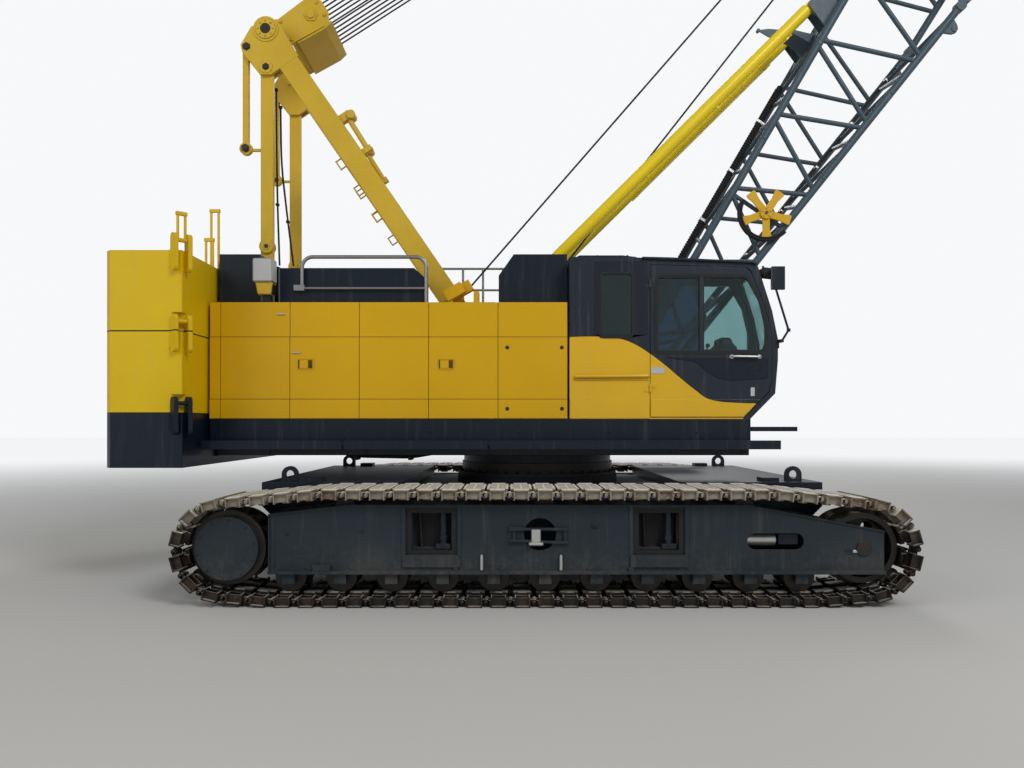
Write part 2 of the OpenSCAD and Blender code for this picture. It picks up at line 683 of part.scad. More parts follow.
// A standing link: two bars with a bar across their tops
link_r = 14;
module loop_link(half, z) {
  for (s = [-1, 1]) upright(0, s * half, z, link_r, $fn = 16);
  box(around(0, link_r + 3), around(0, half + link_r + 3), shift(z[1], [-24, 12]));
}
module counterweight_top() color(yellow) {
  counterweight([cw_z2, cw_z3], yellow, true);
  for (side = [-1, 1]) {
    at_corner(side) translate([-12, 0, 0]) loop_link(38, [cw_z3 + 100, cw_z3 + 375]);
    on_side(side) {
      translate([cw_x[1] - 70, 1050, 0]) rotate(90) loop_link(42, [cw_z3 - 20, cw_z3 + 690]);
      translate([cw_x[1] - 70, 1220, 0]) rotate(90) loop_link(38, [cw_z3 - 20, cw_z3 + 320]);
    }
  }
}

// Cab
cab_y = [-house_y, -cab_in];
function cab_outline(inset) = [
  [doors_x1 + 20 + inset, deck_z + inset],
  [2287, deck_z + inset],
  [2560 - inset, 2064],
  [cab_front_x - inset, 2430],
  [cab_front_x - inset, 2660],
  [2526 - inset, 2970],
  [2360 - inset, 3490 - inset],
  [cab_mid_x, cab_z - inset],
  [doors_x1 + 20 + inset, cab_z + 10 - inset]
];
door_x = [cab_mid_x + 15, 2520];
door_outline = [
  [door_x[0], 1805], [2215, 1805], [2490, 2085], [2520, 2190], [2520, 2730], [2450, 3005],
  [2290, 3400], [2240, 3440], [door_x[0], 3470]
];
function grown(outline, centre, by) =
  [for (p = outline) p + by * [sign(p.x - centre.x), sign(p.y - centre.y)]];
door_mid = [1850, 2700];
glass_outline = [
  [1290, 2517], [2410, 2517], [2455, 2590], [2455, 2800], [2390, 3080], [2240, 3350], [1300, 3355],
  [1262, 3310], [1262, 2550]
];
side_window = [640, 1005, 2670, 3390];

module cab_shell() color(navy) {
  difference() {
    slab(cab_outline(0), cab_y);
    slab(cab_outline(cab_t), cab_y + [cab_t, -cab_t]);
    slab(grown(door_outline, door_mid, door_gap), [cab_y[0] - 1, cab_y[0] + cab_t + 1]);
    box([side_window[0], side_window[1]], [cab_y[0] - 1, cab_y[0] + cab_t + 1],
      [side_window[2], side_window[3]]);
    slab(glass_outline, [cab_y[1] - cab_t - 1, cab_y[1] + 1]);
    box([2300, 2700], cab_y + [cab_t + 25, -cab_t - 25], [2250, 3380]);
  }
  for (z = hinge_zs) cab_hinge(shift(z, [0, hinge_l]), -1);
}

// A barrel of the cab door's hinges with its leaf, behind (-1) or before (1) the axis
hinge = [cab_mid_x + 12, -house_y - 14];
hinge_r = 14;
hinge_l = 45;
hinge_zs = [2080, 3220];
module cab_hinge(z, dir) {
  upright(hinge.x, hinge.y, z, hinge_r);
  box(dir < 0 ? [hinge.x - 60, hinge.x] : [hinge.x, hinge.x + 60], [-house_y - 5, -house_y], z);
}

module cab_glass() color([0.2, 0.25, 0.28, 0.5]) {
  box([side_window[0], side_window[1]], shift(cab_y[0], [10, 10 + glass_t]),
      [side_window[2], side_window[3]]);
  slab(glass_outline, shift(cab_y[1], [-10 - glass_t, -10]));
  slab([[2540, 2250], [2546, 2250], [2560, 2435], [2560, 2660], [2500, 2960], [2352, 3380],
        [2346, 3380], [2494, 2960], [2554, 2660], [2554, 2435]],
    cab_y + [cab_t + 25, -cab_t - 25]);
}

module cab_seat() color(dark) {
  mid = (cab_y[0] + cab_y[1]) / 2;
  box([1250, 1700], around(mid, 220), [2280, 2400]);
  box([1180, 1290], around(mid, 220), [2400, 3000]);
  box([1300, 1650], around(mid, 150), [deck_z + cab_t, 2280]);
  box([1980, 2180], around(mid, 230), [deck_z + cab_t, 2450]);
}

module cab_door() color(navy) {
  difference() {
    slab(door_outline, shift(cab_y[0], [0, cab_t]));
    slab(glass_outline, shift(cab_y[0], [-1, cab_t + 1]));
  }
  for (z = hinge_zs) cab_hinge(shift(z, [hinge_l + seat, 2 * hinge_l]), 1);
}

module cab_door_glass() color([0.2, 0.25, 0.28, 0.5])
  slab(glass_outline, shift(cab_y[0], [14, 14 + glass_t]));

// Handrail: a bent pipe clamped to the middle hood's side
rail_r = 21;
rail_bend = 120;
rail_x = [-2670, -1280];
rail_y = -hood_y - 45;
rail_z = 3600;
rail_foot_z = 3240;

// A bend that turns an upright into the top rail, at the rail's rear or front end
module rail_corner(x, y, dir)
  translate([x, y, rail_z - rail_bend]) mirror([dir < 0 ? 1 : 0, 0, 0])
    translate([rail_bend, 0, 0]) rotate([90, 0, 0]) rotate([0, 0, 90])
      rotate_extrude(angle = 90) translate([rail_bend, 0]) circle(rail_r, $fn = 24);

module handrails() color(pale) {
  bar([rail_x[0] + rail_bend, rail_y, rail_z], [rail_x[1] - rail_bend, rail_y, rail_z], rail_r, 24);
  upright(rail_x[0], rail_y, [rail_foot_z, rail_z - rail_bend], rail_r, $fn = 24);
  upright(rail_x[1], rail_y, [house_z, rail_z - rail_bend], rail_r, $fn = 24);
  rail_corner(rail_x[0], rail_y, 1);
  rail_corner(rail_x[1], rail_y, -1);
  box(around(rail_x[0] - 30, 60), [rail_y - 25, -hood_y - seat], shift(rail_foot_z, [-20, 45]));
  upright(rail_x[1], rail_y, [house_z, house_z + 12], 40);
  bar([rail_x[0] - 60, rail_y, rail_foot_z + 10], [rail_x[1], rail_y, rail_foot_z + 10], 13, 16);
  // A rail on the left house
  far_x = [-1340, -430];
  for (z = [3670, 3980]) bar([far_x[0], house_y - 120, z], [far_x[1], house_y - 120, z], 16, 16);
  for (x = shift(far_x[0], [20, 890])) upright(x, house_y - 120, [house_z, 3980], 17, $fn = 16);
  for (x = shift(far_x[0], [310, 600]))
    upright(x, house_y - 120, [house_z, 3980], 17, $fn = 16);
}

// Mirror on a bent stay at the cab's front corner
mirror_y = -house_y - 60;
module mirror_arm() color(dark) {
  bends = [[cab_front_x + 24, 2635], [cab_front_x + 95, 2750], [cab_front_x - 43, 3200]];
  box([cab_front_x + seat, cab_front_x + 16], [-house_y + 5, -house_y + 60], [2560, 2655]);
  box(shift(cab_front_x, [seat, 40]), [mirror_y - 14, -house_y + 30], [2619, 2651]);
  for (i = [0, 1])
    bar([bends[i][0], mirror_y, bends[i][1]], [bends[i + 1][0], mirror_y, bends[i + 1][1]], 12, 16);
  box(around(bends[1][0], 17), around(mirror_y, 15), around(bends[1][1], 17));
  box([cab_front_x - 90, cab_front_x + 50], [mirror_y - 22, mirror_y + 22], [3190, 3440]);
}

// Gantry
leg_dir = [leg_foot_x - head_x, leg_foot_z - head_z];
leg_l = norm(leg_dir);
leg_a = atan2(leg_dir.y, leg_dir.x);
leg_pin_r = 40;
leg_top = 480;
module along_leg() translate([head_x, 0, head_z]) rotate([0, -leg_a, 0]) children();
module gantry_front_legs() color(gantry_yellow) {
  both_sides() along_leg() difference() {
    union() {
      slab([[leg_top, -leg_d / 2], [leg_l - 350, -leg_d / 2], [leg_l, -90], [leg_l, 90],
            [leg_l - 350, leg_d / 2], [leg_top, leg_d / 2]], around(leg_y, leg_t / 2));
      across(leg_l, 0, around(leg_y, leg_t / 2), 100);
    }
    across(leg_l, 0, around(leg_y, leg_t / 2 + 1), leg_pin_r + running);
  }
  // Step loops behind the legs, and brackets on their front edge
  both_sides() along_leg() {
    for (l = [1808, 2190, 2572]) {
      for (d = [-55, 55]) bar([l + d, leg_y, -leg_d / 2 + 5], [l + d, leg_y, -leg_d / 2 - 88], 9, 12);
      bar([l - 64, leg_y, -leg_d / 2 - 80], [l + 64, leg_y, -leg_d / 2 - 80], 9, 12);
    }
    box([1330, 1425], around(leg_y, 45), shift(leg_d / 2, [-5, 135]));
    across(1405, leg_d / 2 + 140, around(leg_y, 75), 50);
    box([1815, 1880], around(leg_y, 40), shift(leg_d / 2, [-5, 120]));
    bar([1400, leg_y, leg_d / 2 + 90], [1850, leg_y, leg_d / 2 + 70], 32);
  }
  // Cross tube between the legs
  along_leg() across(1500, 0, [-1, 1] * leg_y, 70);
}

// Head plates with the main pivot and the pins for rear legs and links
link_pin = [-3488, 6233];
module gantry_head() color(gantry_yellow) {
  both_sides() difference() {
    union() {
      slab([[head_x - 175, head_z + 30], [link_pin.x - 70, link_pin.y + 20],
            [link_pin.x - 50, link_pin.y - 65], [head_x - 70, rear_pin_z - 90],
            [head_x + 70, rear_pin_z - 90], [head_x + 250, rear_pin_z + 20],
            [head_x + 390, rear_pin_z + 130], [head_x + 130, head_z + 120]],
        around(leg_y, leg_t / 2));
      across(head_x, head_z, around(leg_y, leg_t / 2 + 8), 150);
      across(head_x, head_z, around(leg_y, leg_t / 2 + 22), 118);
    }
    across(head_x, rear_pin_z, around(leg_y, 30), 150);
    across(link_pin.x, link_pin.y, around(leg_y, 30), 160);
    along_leg() box([leg_top - seat, leg_top + 400], around(leg_y, leg_t), [-600, 600]);
  }
  both_sides() across(head_x, rear_pin_z, around(leg_y, leg_t / 2), 40);
  both_sides() across(link_pin.x, link_pin.y, around(leg_y, leg_t / 2), 32);
  across(head_x, head_z, [-1, 1] * (leg_y + 20), 75);
}

rear_foot_z = 3857;
module gantry_rear_legs() color(gantry_yellow)
  both_sides() {
    box(around(head_x, rear_leg_w / 2), around(leg_y, 28), [deck_z, rear_pin_z - 60]);
    difference() {
      across(head_x, rear_pin_z, around(leg_y, 28), 95);
      across(head_x, rear_pin_z, around(leg_y, 29), 40 + running);
    }
    // Fork and pin of the leg's foot
    across(head_x, rear_foot_z, around(leg_y, 62), 42);
    for (y = [leg_y - 52, leg_y + 28]) across(head_x, rear_foot_z, [y, y + 24], 88);
    // Folded links that hang behind
    difference() {
      union() {
        box(around(link_pin.x - 24, 35), around(leg_y, 28), [link_pin.y - link_len, link_pin.y]);
        across(link_pin.x, link_pin.y, around(leg_y, 28), 75);
        across(link_pin.x - 24, link_pin.y - link_len, around(leg_y, 28), 75);
      }
      across(link_pin.x, link_pin.y, around(leg_y, 29), 32 + running);
    }
    box([link_pin.x, head_x - rear_leg_w / 2], around(leg_y, 15),
      shift(link_pin.y - link_len - 30, [0, 30]));
  }

// Boom: u runs along it from the foot pin, w up from its middle
module on_boom() translate([foot_x, 0, foot_z]) rotate([0, -boom_angle, 0]) children();
boom_len = butt_len + tip_len;
function half_depth(u) = u < butt_len
  ? foot_half + (joint_half - foot_half) * u / butt_len
  : joint_half + (tip_half - joint_half) * (u - butt_len) / tip_len;
function chord_point(u, side, face) = [u, side * chord_y, face * half_depth(u)];

module chords(u) for (s = [-1, 1], f = [-1, 1])
  bar(chord_point(u[0], s, f), chord_point(u[1], s, f), chord_r);

// Zigzag of lacing tubes in the side faces and in the upper and lower faces
lace_gap = 38;
module lacing(u_range, count) {
  lace_pitch = (u_range[1] - u_range[0]) / count;
  for (s = [-1, 1], k = [0:count - 1]) {
    u = u_range[0] + k * lace_pitch;
    bar(chord_point(u + lace_gap, s, 1), chord_point(u + lace_pitch / 2 - lace_gap, s, -1), lace_r);
    bar(chord_point(u + lace_pitch / 2 + lace_gap, s, -1), chord_point(u + lace_pitch - lace_gap, s, 1),
      lace_r);
  }
  for (f = [-1, 1], k = [0:count - 1]) {
    u = u_range[0] + lace_pitch / 4 + k * lace_pitch;
    bar(chord_point(u + lace_gap, -1, f), chord_point(u + lace_pitch / 2 - lace_gap, 1, f), lace_r);
    bar(chord_point(u + lace_pitch / 2 + lace_gap, 1, f), chord_point(u + lace_pitch - lace_gap, -1, f),
      lace_r);
  }
}

module boom_butt() color(boom_grey) on_boom() {
  chords([380, butt_len - 30]);
  lacing([940, butt_len - 360], 5);
  for (s = [-1, 1]) difference() {
    union() {
      slab([[0, -105], [420, -half_depth(420) - 30], [700, -half_depth(700) + 10],
            [500, 0], [700, half_depth(700) - 10], [420, half_depth(420) + 30], [0, 105]],
        [s * chord_y - 30, s * chord_y + 30]);
      across(0, 0, around(s * chord_y, 30), 105);
    }
    across(0, 0, around(s * chord_y, 31), foot_pin_r + running);
  }
  bar([400, -chord_y, 0], [400, chord_y, 0], 50);
  // Brackets for the backstops, on two cross tubes
  for (u = around(stop_u, 150)) bar(chord_point(u, -1, 1), chord_point(u, 1, 1), 34);
  both_sides() {
    for (y = [stop_y - 97, stop_y + 85])
      slab([[stop_u - 190, half_depth(stop_u - 190) - 12], [stop_u + 190, half_depth(stop_u + 190) - 12],
          [stop_u + 60, stop_w + 50], [stop_u - 60, stop_w + 50]], [y, y + 12]);
    across(stop_u, stop_w, [stop_y - 96, stop_y - 33], stop_pin_r);
    across(stop_u, stop_w, [stop_y + 33, stop_y + 96], stop_pin_r);
  }
  // Post and pin of the cable reel, on the near face
  bar(chord_point(reel.x, -1, 1), chord_point(reel.x, -1, -1), 25);
  across(reel.x, reel.y, [-chord_y - 125, -chord_y], reel_pin_r);
  for (s = [-1, 1], f = [-1, 1])
    bar([butt_len - 80, s * chord_y - 55, f * half_depth(butt_len - 80)],
        [butt_len - 80, s * chord_y + 55, f * half_depth(butt_len - 80)], 60);
}

module boom_tip() color(boom_grey) on_boom() {
  chords([butt_len - 12, boom_len - 500]);
  lacing([butt_len + 200, boom_len - 1500], 7);
  for (s = [-1, 1], f = [-1, 1])
    bar([butt_len + 40, s * chord_y - 55, f * half_depth(butt_len + 40)],
        [butt_len + 40, s * chord_y + 55, f * half_depth(butt_len + 40)], 60);
  // Head plates
  for (s = [-1, 1])
    slab([[boom_len - 800, -tip_half - 80], [boom_len - 500, -tip_half - 100],
          [head_u - 60, head_w - 140], [head_u + 110, head_w - 90], [head_u + 110, head_w + 60],
          [guide_u + 130, guide_w + 90], [guide_u - 110, guide_w + 90],
          [boom_len - 800, tip_half + 80]],
      [s * (chord_y - 30) - 15, s * (chord_y - 30) + 15]);
  bar([boom_len - 700, -chord_y, 0], [boom_len - 700, chord_y, 0], 60);
  // Studs for the main stays
  both_sides() across(stay_u, stay_w, [chord_y - 30, stay_y - 30], 45);
}

// Boom head: the hoist sheaves, and the guide sheaves over them
head_u = boom_len + 150;
head_w = -420;
guide_u = boom_len - 270;
guide_w = 520;
guide_r = 180;
guide_ys = [-80, 80];
// Depth of a sheave's groove, and the depth at which a rope's middle lies in it
groove_d = 30;
rope_in = groove_d - rope_r - seat;
module sheave(u, w, y, r, t = 60)
  difference() {
    across(u, w, around(y, t / 2), r);
    difference() {
      across(u, w, around(y, t / 4), r + 1);
      across(u, w, around(y, t / 2), r - groove_d);
    }
  }
module boom_head() color(steel) on_boom() {
  across(head_u, head_w, [-1, 1] * (chord_y - 45 - seat), 60);
  for (y = [-240, -80, 80, 240]) sheave(head_u, head_w, y, sheave_r);
  across(guide_u, guide_w, [-1, 1] * (chord_y - 45 - seat), 40);
  for (y = guide_ys) sheave(guide_u, guide_w, y, guide_r);
}

// Cable reel: five arms round a hub on the near face of the boom
reel = [2943, -90];
reel_pin_r = 20;
module cable_reel() color(yellow) on_boom() {
  y = -chord_y - 110;
  difference() {
    union() {
      across(reel.x, reel.y, [y, y + 50], 60);
      for (i = [0:4]) translate([reel.x, y + 25, reel.y]) rotate([0, 72 * i, 0])
        box([50, 290], [-6, 6], [-30, 30]);
    }
    across(reel.x, reel.y, [y - 1, y + 51], reel_pin_r + 1);
  }
}

// Backstops: a tube on the winch frame and a rod that slides in it
stop_top = [foot_x + stop_u * cos(boom_angle) - stop_w * sin(boom_angle),
            foot_z + stop_u * sin(boom_angle) + stop_w * cos(boom_angle)];
stop_dir = stop_top - [stop_x, stop_z];
stop_l = norm(stop_dir);
stop_a = atan2(stop_dir.y, stop_dir.x);
stop_tube_u = [950, stop_l - 90];
stop_rod_l = 2700;
stop_wall = 12;
module along_stop() translate([stop_x, 0, stop_z]) rotate([0, -stop_a, 0]) children();

module backstop_rods() color(steel) along_stop() both_sides()
  difference() {
    union() {
      bar([200, stop_y, 0], [stop_rod_l, stop_y, 0], stop_r - stop_wall - seat);
      slab([[0, -62], [210, -50], [210, 50], [0, 62]], around(stop_y, 30));
      across(0, 0, around(stop_y, 30), 62);
    }
    across(0, 0, around(stop_y, 31), stop_pin_r + running);
  }

module backstop_tubes() color(yellow) along_stop() both_sides() {
  difference() {
    bar([stop_tube_u[0], stop_y, 0], [stop_tube_u[1], stop_y, 0], stop_r);
    bar([stop_tube_u[0] - 1, stop_y, 0], [stop_tube_u[1] - 200, stop_y, 0], stop_r - stop_wall);
  }
  difference() {
    union() {
      box([stop_tube_u[1] - 40, stop_l], around(stop_y, 25), [-60, 60]);
      across(stop_l, 0, around(stop_y, 25), 60);
    }
    across(stop_l, 0, around(stop_y, 26), stop_pin_r);
  }
}
stop_pin_r = 30;

// Boom hoist: the block at the gantry head, its ropes, and the bridle with the main stays
stay_u = boom_len - 300;
stay_w = 350;
stay_top = [foot_x + stay_u * cos(boom_angle) - stay_w * sin(boom_angle),
            foot_z + stay_u * sin(boom_angle) + stay_w * cos(boom_angle)];
stay_dir = stay_top - [head_x, head_z];
stay_l = norm(stay_dir);
stay_a = atan2(stay_dir.y, stay_dir.x);
block_l = 560;
module along_stay() translate([head_x, 0, head_z]) rotate([0, -stay_a, 0]) children();
block_ys = [-250, -150, -50, 50, 150, 250];
module gantry_block() color(gantry_yellow) along_stay() {
  difference() {
    union() {
      for (y = [-440, 400]) slab([[-150, -150], [150, -170], [block_l + 120, -210],
          [block_l + 200, -80], [block_l + 200, 80], [block_l + 120, 210], [150, 170],
          [-150, 150]], [y, y + 40]);
      box([190, 250], [-400, 400], [-170, 170]);
      // Floor of the housing, under the ropes, folded at its end
      slab([[240, -190], [block_l + 60, -212], [block_l + 165, -190], [block_l + 175, -212],
          [block_l + 65, -236], [240, -210]], [-440, 440]);
    }
    across(0, 0, [-441, 441], 75 + running);
  }
  across(block_l, 0, [-440, 440], 45);
  for (y = block_ys) sheave(block_l, 0, y, 170, 50);
}

bridle_x = block_l + reeve_len;
module reeving() color(dark) along_stay()
  for (y = block_ys, f = [-1, 1])
    bar([block_l, y, f * 150], [bridle_x, y, f * 150], reeve_r, 12);

module bridle() color(gantry_yellow) along_stay() {
  for (y = [-340, 300]) slab([[bridle_x - 200, -60], [bridle_x - 120, -180], [bridle_x + 150, -150],
      [bridle_x + 420, -80], [bridle_x + 420, 80], [bridle_x + 150, 150], [bridle_x - 120, 180],
      [bridle_x - 200, 60]], [y, y + 40]);
  across(bridle_x, 0, [-340, 340], 40);
  for (y = block_ys) sheave(bridle_x, 0, y, 170, 50);
  across(bridle_x + 340, 0, [-1, 1] * (stay_y + 30), 50);
  both_sides() {
    across(bridle_x + 340, 0, around(stay_y, 30), 90);
    bar([bridle_x + 400, stay_y, 0], [stay_l - 140, stay_y, 0], stay_r);
    slab([[stay_l - 150, -50], [stay_l + 60, -60], [stay_l + 60, 60], [stay_l - 150, 50]],
      around(stay_y, 22));
  }
}

// Hoist ropes from the drums to the guide sheaves
guide = [foot_x + guide_u * cos(boom_angle) - guide_w * sin(boom_angle),
         foot_z + guide_u * sin(boom_angle) + guide_w * cos(boom_angle)];
rope_end_l = 400;
module along_rope(d) {
  v = guide - [d[0], d[1]];
  translate([d[0], 0, d[1]]) rotate([0, -atan2(v.y, v.x), 0]) children();
}
function rope_l(d) = norm(guide - [d[0], d[1]]);
rope_lift = [drum_r + rope_r + seat, guide_r - rope_in];
function rope_at(d, l) = rope_lift[0] + (rope_lift[1] - rope_lift[0]) * l / rope_l(d);
module rope_stretch(d, y, l) color(dark) along_rope(d)
  bar([l[0], y, rope_at(d, l[0])], [l[1], y, rope_at(d, l[1])], rope_r, 12);
module hoist_rope(d, y) rope_stretch(d, y, [0, rope_l(d) - rope_end_l]);
module hoist_rope_end(d, y) rope_stretch(d, y, [rope_l(d) - rope_end_l + seat, rope_l(d)]);

// Hook: rope falls from the head sheaves and the block with its hook
head = [foot_x + head_u * cos(boom_angle) - head_w * sin(boom_angle),
        foot_z + head_u * sin(boom_angle) + head_w * cos(boom_angle)];
hook_z = head.y - fall_len;
hook_sheave_r = 240;
fall_ys = [-240, -80, 80, 240];
module hook_falls() color(dark)
  for (y = fall_ys, s = [-1, 1])
    bar([head.x + s * (sheave_r - rope_in), y, head.y - 10],
        [head.x + s * (hook_sheave_r - rope_in), y, hook_z + 10], rope_r, 12);

module hook_block() color(yellow) {
  for (y = [-320, -160, 0, 160, 320])
    slab([[head.x - 300, hook_z], [head.x - 190, hook_z - 380], [head.x + 190, hook_z - 380],
          [head.x + 300, hook_z], [head.x + 190, hook_z + 300], [head.x - 190, hook_z + 300]],
      around(y, 12));
  across(head.x, hook_z, [-330, 330], 50);
  for (y = fall_ys) sheave(head.x, hook_z, y, hook_sheave_r, 60);
  box(around(head.x, 140), [-332, 332], shift(hook_z, [-480, -370]));
  upright(head.x, 0, shift(hook_z, [-640, -480]), 45);
  translate([head.x + 20, 0, hook_z - 760]) rotate([90, 0, 0])
    rotate([0, 0, -200]) rotate_extrude(angle = 290) translate([130, 0]) circle(48, $fn = 24);
}

placed() carbody();
placed() carbody_weight(1);  // carbody_weight_front
placed() carbody_weight(-1);  // carbody_weight_rear
placed() swing_ring();
placed() side_frame(-1);  // side_frame_right
placed() side_frame(1);  // side_frame_left
placed() track(-1);  // track_right
placed() track(1);  // track_left
placed() drive_wheel(-1);  // drive_wheel_right
placed() drive_wheel(1);  // drive_wheel_left
placed() idler(-1);  // idler_right
placed() idler(1);  // idler_left
placed() rollers(-1);  // rollers_right
placed() rollers(1);  // rollers_left
placed() deck();
placed() platform(-1);  // platform_right
placed() platform(1);  // platform_left
placed() winch_frame();
placed() house(-1);  // house_right
placed() house(1);  // house_left
placed() hood_rear();
placed() hood_middle();
placed() hood_front();
placed() engine_block();
placed() counterweight([cw_z0, cw_z1], navy, false);  // counterweight_lower
placed() counterweight([cw_z1, cw_z2], yellow, true);  // counterweight_middle
placed() counterweight_top();  // counterweight_upper
placed() cab_shell();
placed() cab_glass();
placed() cab_seat();
placed() handrails();
placed() mirror_arm();
placed() gantry_front_legs();
placed() gantry_rear_legs();
placed() gantry_head();
placed() cab_door();
placed() cab_door_glass();
placed() house_door(0);  // house_door_1
placed() house_door(1);  // house_door_2
placed() house_door(2);  // house_door_3
placed() house_door(3);  // house_door_4
placed() house_door(4);  // house_door_5
placed() drum(drums[0][0], drums[0][1]);  // drum_front
placed() drum(drums[1][0], drums[1][1]);  // drum_rear
placed() drum(drums[2][0], drums[2][1]);  // drum_boom_hoist
placed() boom_butt();
placed() boom_tip();
placed() boom_head();
placed() cable_reel();
placed() backstop_tubes();
placed() backstop_rods();
placed() gantry_block();
placed() reeving();
placed() bridle();
placed() hoist_rope(drums[1], guide_ys[0]);  // hoist_rope_rear
placed() hoist_rope_end(drums[1], guide_ys[0]);  // hoist_rope_rear_end
placed() hoist_rope(drums[0], guide_ys[1]);  // hoist_rope_front
placed() hoist_rope_end(drums[0], guide_ys[1]);  // hoist_rope_front_end
placed() hook_falls();
placed() hook_block();
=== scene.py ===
import json
import math

import bmesh
import bpy
from mathutils import Matrix, Vector

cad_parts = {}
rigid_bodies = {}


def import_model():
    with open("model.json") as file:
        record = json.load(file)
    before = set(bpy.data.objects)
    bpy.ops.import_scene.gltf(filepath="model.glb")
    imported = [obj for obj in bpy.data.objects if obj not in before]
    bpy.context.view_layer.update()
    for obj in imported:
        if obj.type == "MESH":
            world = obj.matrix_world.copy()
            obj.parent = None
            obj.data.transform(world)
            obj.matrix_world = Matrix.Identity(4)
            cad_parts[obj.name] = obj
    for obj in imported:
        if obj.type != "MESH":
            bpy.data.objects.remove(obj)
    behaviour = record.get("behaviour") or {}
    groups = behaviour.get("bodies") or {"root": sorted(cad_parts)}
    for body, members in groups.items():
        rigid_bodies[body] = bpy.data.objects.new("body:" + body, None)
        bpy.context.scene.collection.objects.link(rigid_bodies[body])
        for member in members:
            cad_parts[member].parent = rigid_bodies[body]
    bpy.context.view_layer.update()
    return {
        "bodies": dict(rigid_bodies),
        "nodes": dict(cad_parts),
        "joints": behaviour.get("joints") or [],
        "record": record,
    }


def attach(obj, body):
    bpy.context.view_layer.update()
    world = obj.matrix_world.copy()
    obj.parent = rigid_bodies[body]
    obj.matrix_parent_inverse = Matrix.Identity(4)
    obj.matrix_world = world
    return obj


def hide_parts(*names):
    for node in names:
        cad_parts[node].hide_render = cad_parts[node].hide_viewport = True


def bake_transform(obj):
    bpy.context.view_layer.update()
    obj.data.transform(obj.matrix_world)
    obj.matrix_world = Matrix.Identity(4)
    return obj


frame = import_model()
NODES = frame["nodes"]
SCENE = bpy.context.scene

# Driving dimensions, in metres. X is measured from the swing axis, which stands at SWING_X.
SWING_X = -2.93
HOUSE_Y = 1.50
DOORS_X = (-3.51, 0.29)
DOOR_COUNT = 5
BOOM_ANGLE = math.radians(55.6)
BOOM_FOOT = (0.95, 1.85)
BUTT_LEN = 6.40
BOOM_LEN = 15.24
CHORD_Y = 0.68
TRACK_Y = 2.293
SHOE_W = 0.914
WHEEL_X = 3.06
WHEEL_Z = 0.535
FRAME_WINDOWS_X = (-1.095, 1.095)
FOLDS_Z = (2.003, 2.684)
WEIGHT_JOINTS_Z = (1.842, 2.675)
# Pins and sheaves: (x, z) from the swing axis, (u, w) along the boom, u along the stay
HEAD_PIN = (-3.256, 6.44)
STAY_END = (BOOM_LEN - 0.30, 0.35)
BLOCK_U = 0.56
BRIDLE_U = 4.56
SHEAVES_Y = (-0.25, -0.15, -0.05, 0.05, 0.15, 0.25)
STOP_FOOT = (-0.50, 3.05)
STOP_TOP = (5.5, 0.85)
STOP_Y = 0.42


def at(x, y, z):
    """A point given from the swing axis, in the shared frame of the crane."""
    return Vector((x + SWING_X, y, z))


def on_boom(u, y, w):
    """A point given along the boom and over its middle, in the same shared frame."""
    c, s = math.cos(BOOM_ANGLE), math.sin(BOOM_ANGLE)
    return at(BOOM_FOOT[0] + u * c - w * s, y, BOOM_FOOT[1] + u * s + w * c)


# Camera, light and floor
def make_camera():
    camera = bpy.data.objects.new("camera", bpy.data.cameras.new("camera"))
    SCENE.collection.objects.link(camera)
    focal_px, width_px, horizon_px, middle_px = 808, 1024, 424, 384
    camera.data.sensor_width = 36
    camera.data.lens = 36 * focal_px / width_px
    camera.data.shift_y = (horizon_px - middle_px) / width_px
    camera.data.clip_end = 300
    camera.location = at(-0.32, -10.34, 1.73)
    camera.rotation_euler = (math.radians(90), 0, 0)
    SCENE.camera = camera


def make_light(name, energy, size, place, target):
    data = bpy.data.lights.new(name, "AREA")
    data.energy = energy
    data.shape = "DISK"
    data.size = size
    lamp = bpy.data.objects.new(name, data)
    SCENE.collection.objects.link(lamp)
    lamp.location = place
    lamp.rotation_euler = (Vector(target) - Vector(place)).to_track_quat("-Z", "Y").to_euler()


def make_world():
    """A white background for the camera and through glass, and a dimmer one as light."""
    world = bpy.data.worlds.new("studio")
    SCENE.world = world
    world.use_nodes = True
    t = Tree(world.node_tree)
    t.tree.nodes.clear()
    path = t.add("LightPath").outputs
    seen = t.math("MAXIMUM", path["Is Camera Ray"], path["Is Transmission Ray"])
    sky = t.add("Background", Color=(0.90, 0.95, 1.0, 1), Strength=0.36).outputs[0]
    white = t.add("Background", Color=(0.93, 0.94, 0.96, 1), Strength=1.0).outputs[0]
    mixed = t.add("MixShader", i0=seen, i1=sky, i2=white).outputs[0]
    t.add("OutputWorld", i0=mixed)


def make_stage():
    bm = bmesh.new()
    bmesh.ops.create_grid(bm, x_segments=1, y_segments=1, size=90)
    floor = bpy.data.objects.new("floor", to_mesh(bm, "floor"))
    floor.location = (0, 0, -0.001)
    SCENE.collection.objects.link(floor)
    material = bpy.data.materials.new("floor")
    material.use_nodes = True
    shader = material.node_tree.nodes["Principled BSDF"]
    shader.inputs["Base Color"].default_value = (0.62, 0.60, 0.57, 1)
    shader.inputs["Roughness"].default_value = 0.95
    # Painted light: far from the crane, where the lamps hardly reach, the floor glows until it is as pale as
    # the background
    t = Tree(material.node_tree)
    where = t.split(t.where())
    far = t.math("SQRT", t.plus(t.times(where["X"], where["X"]), t.times(where["Y"], where["Y"])))
    fade_from, fade_to, glow = 9.0, 40.0, 0.85
    shader.inputs["Emission Color"].default_value = (0.80, 0.81, 0.82, 1)
    t.put(t.times(t.ramp(far, fade_from, fade_to), glow), shader.inputs["Emission Strength"])
    floor.data.materials.append(material)


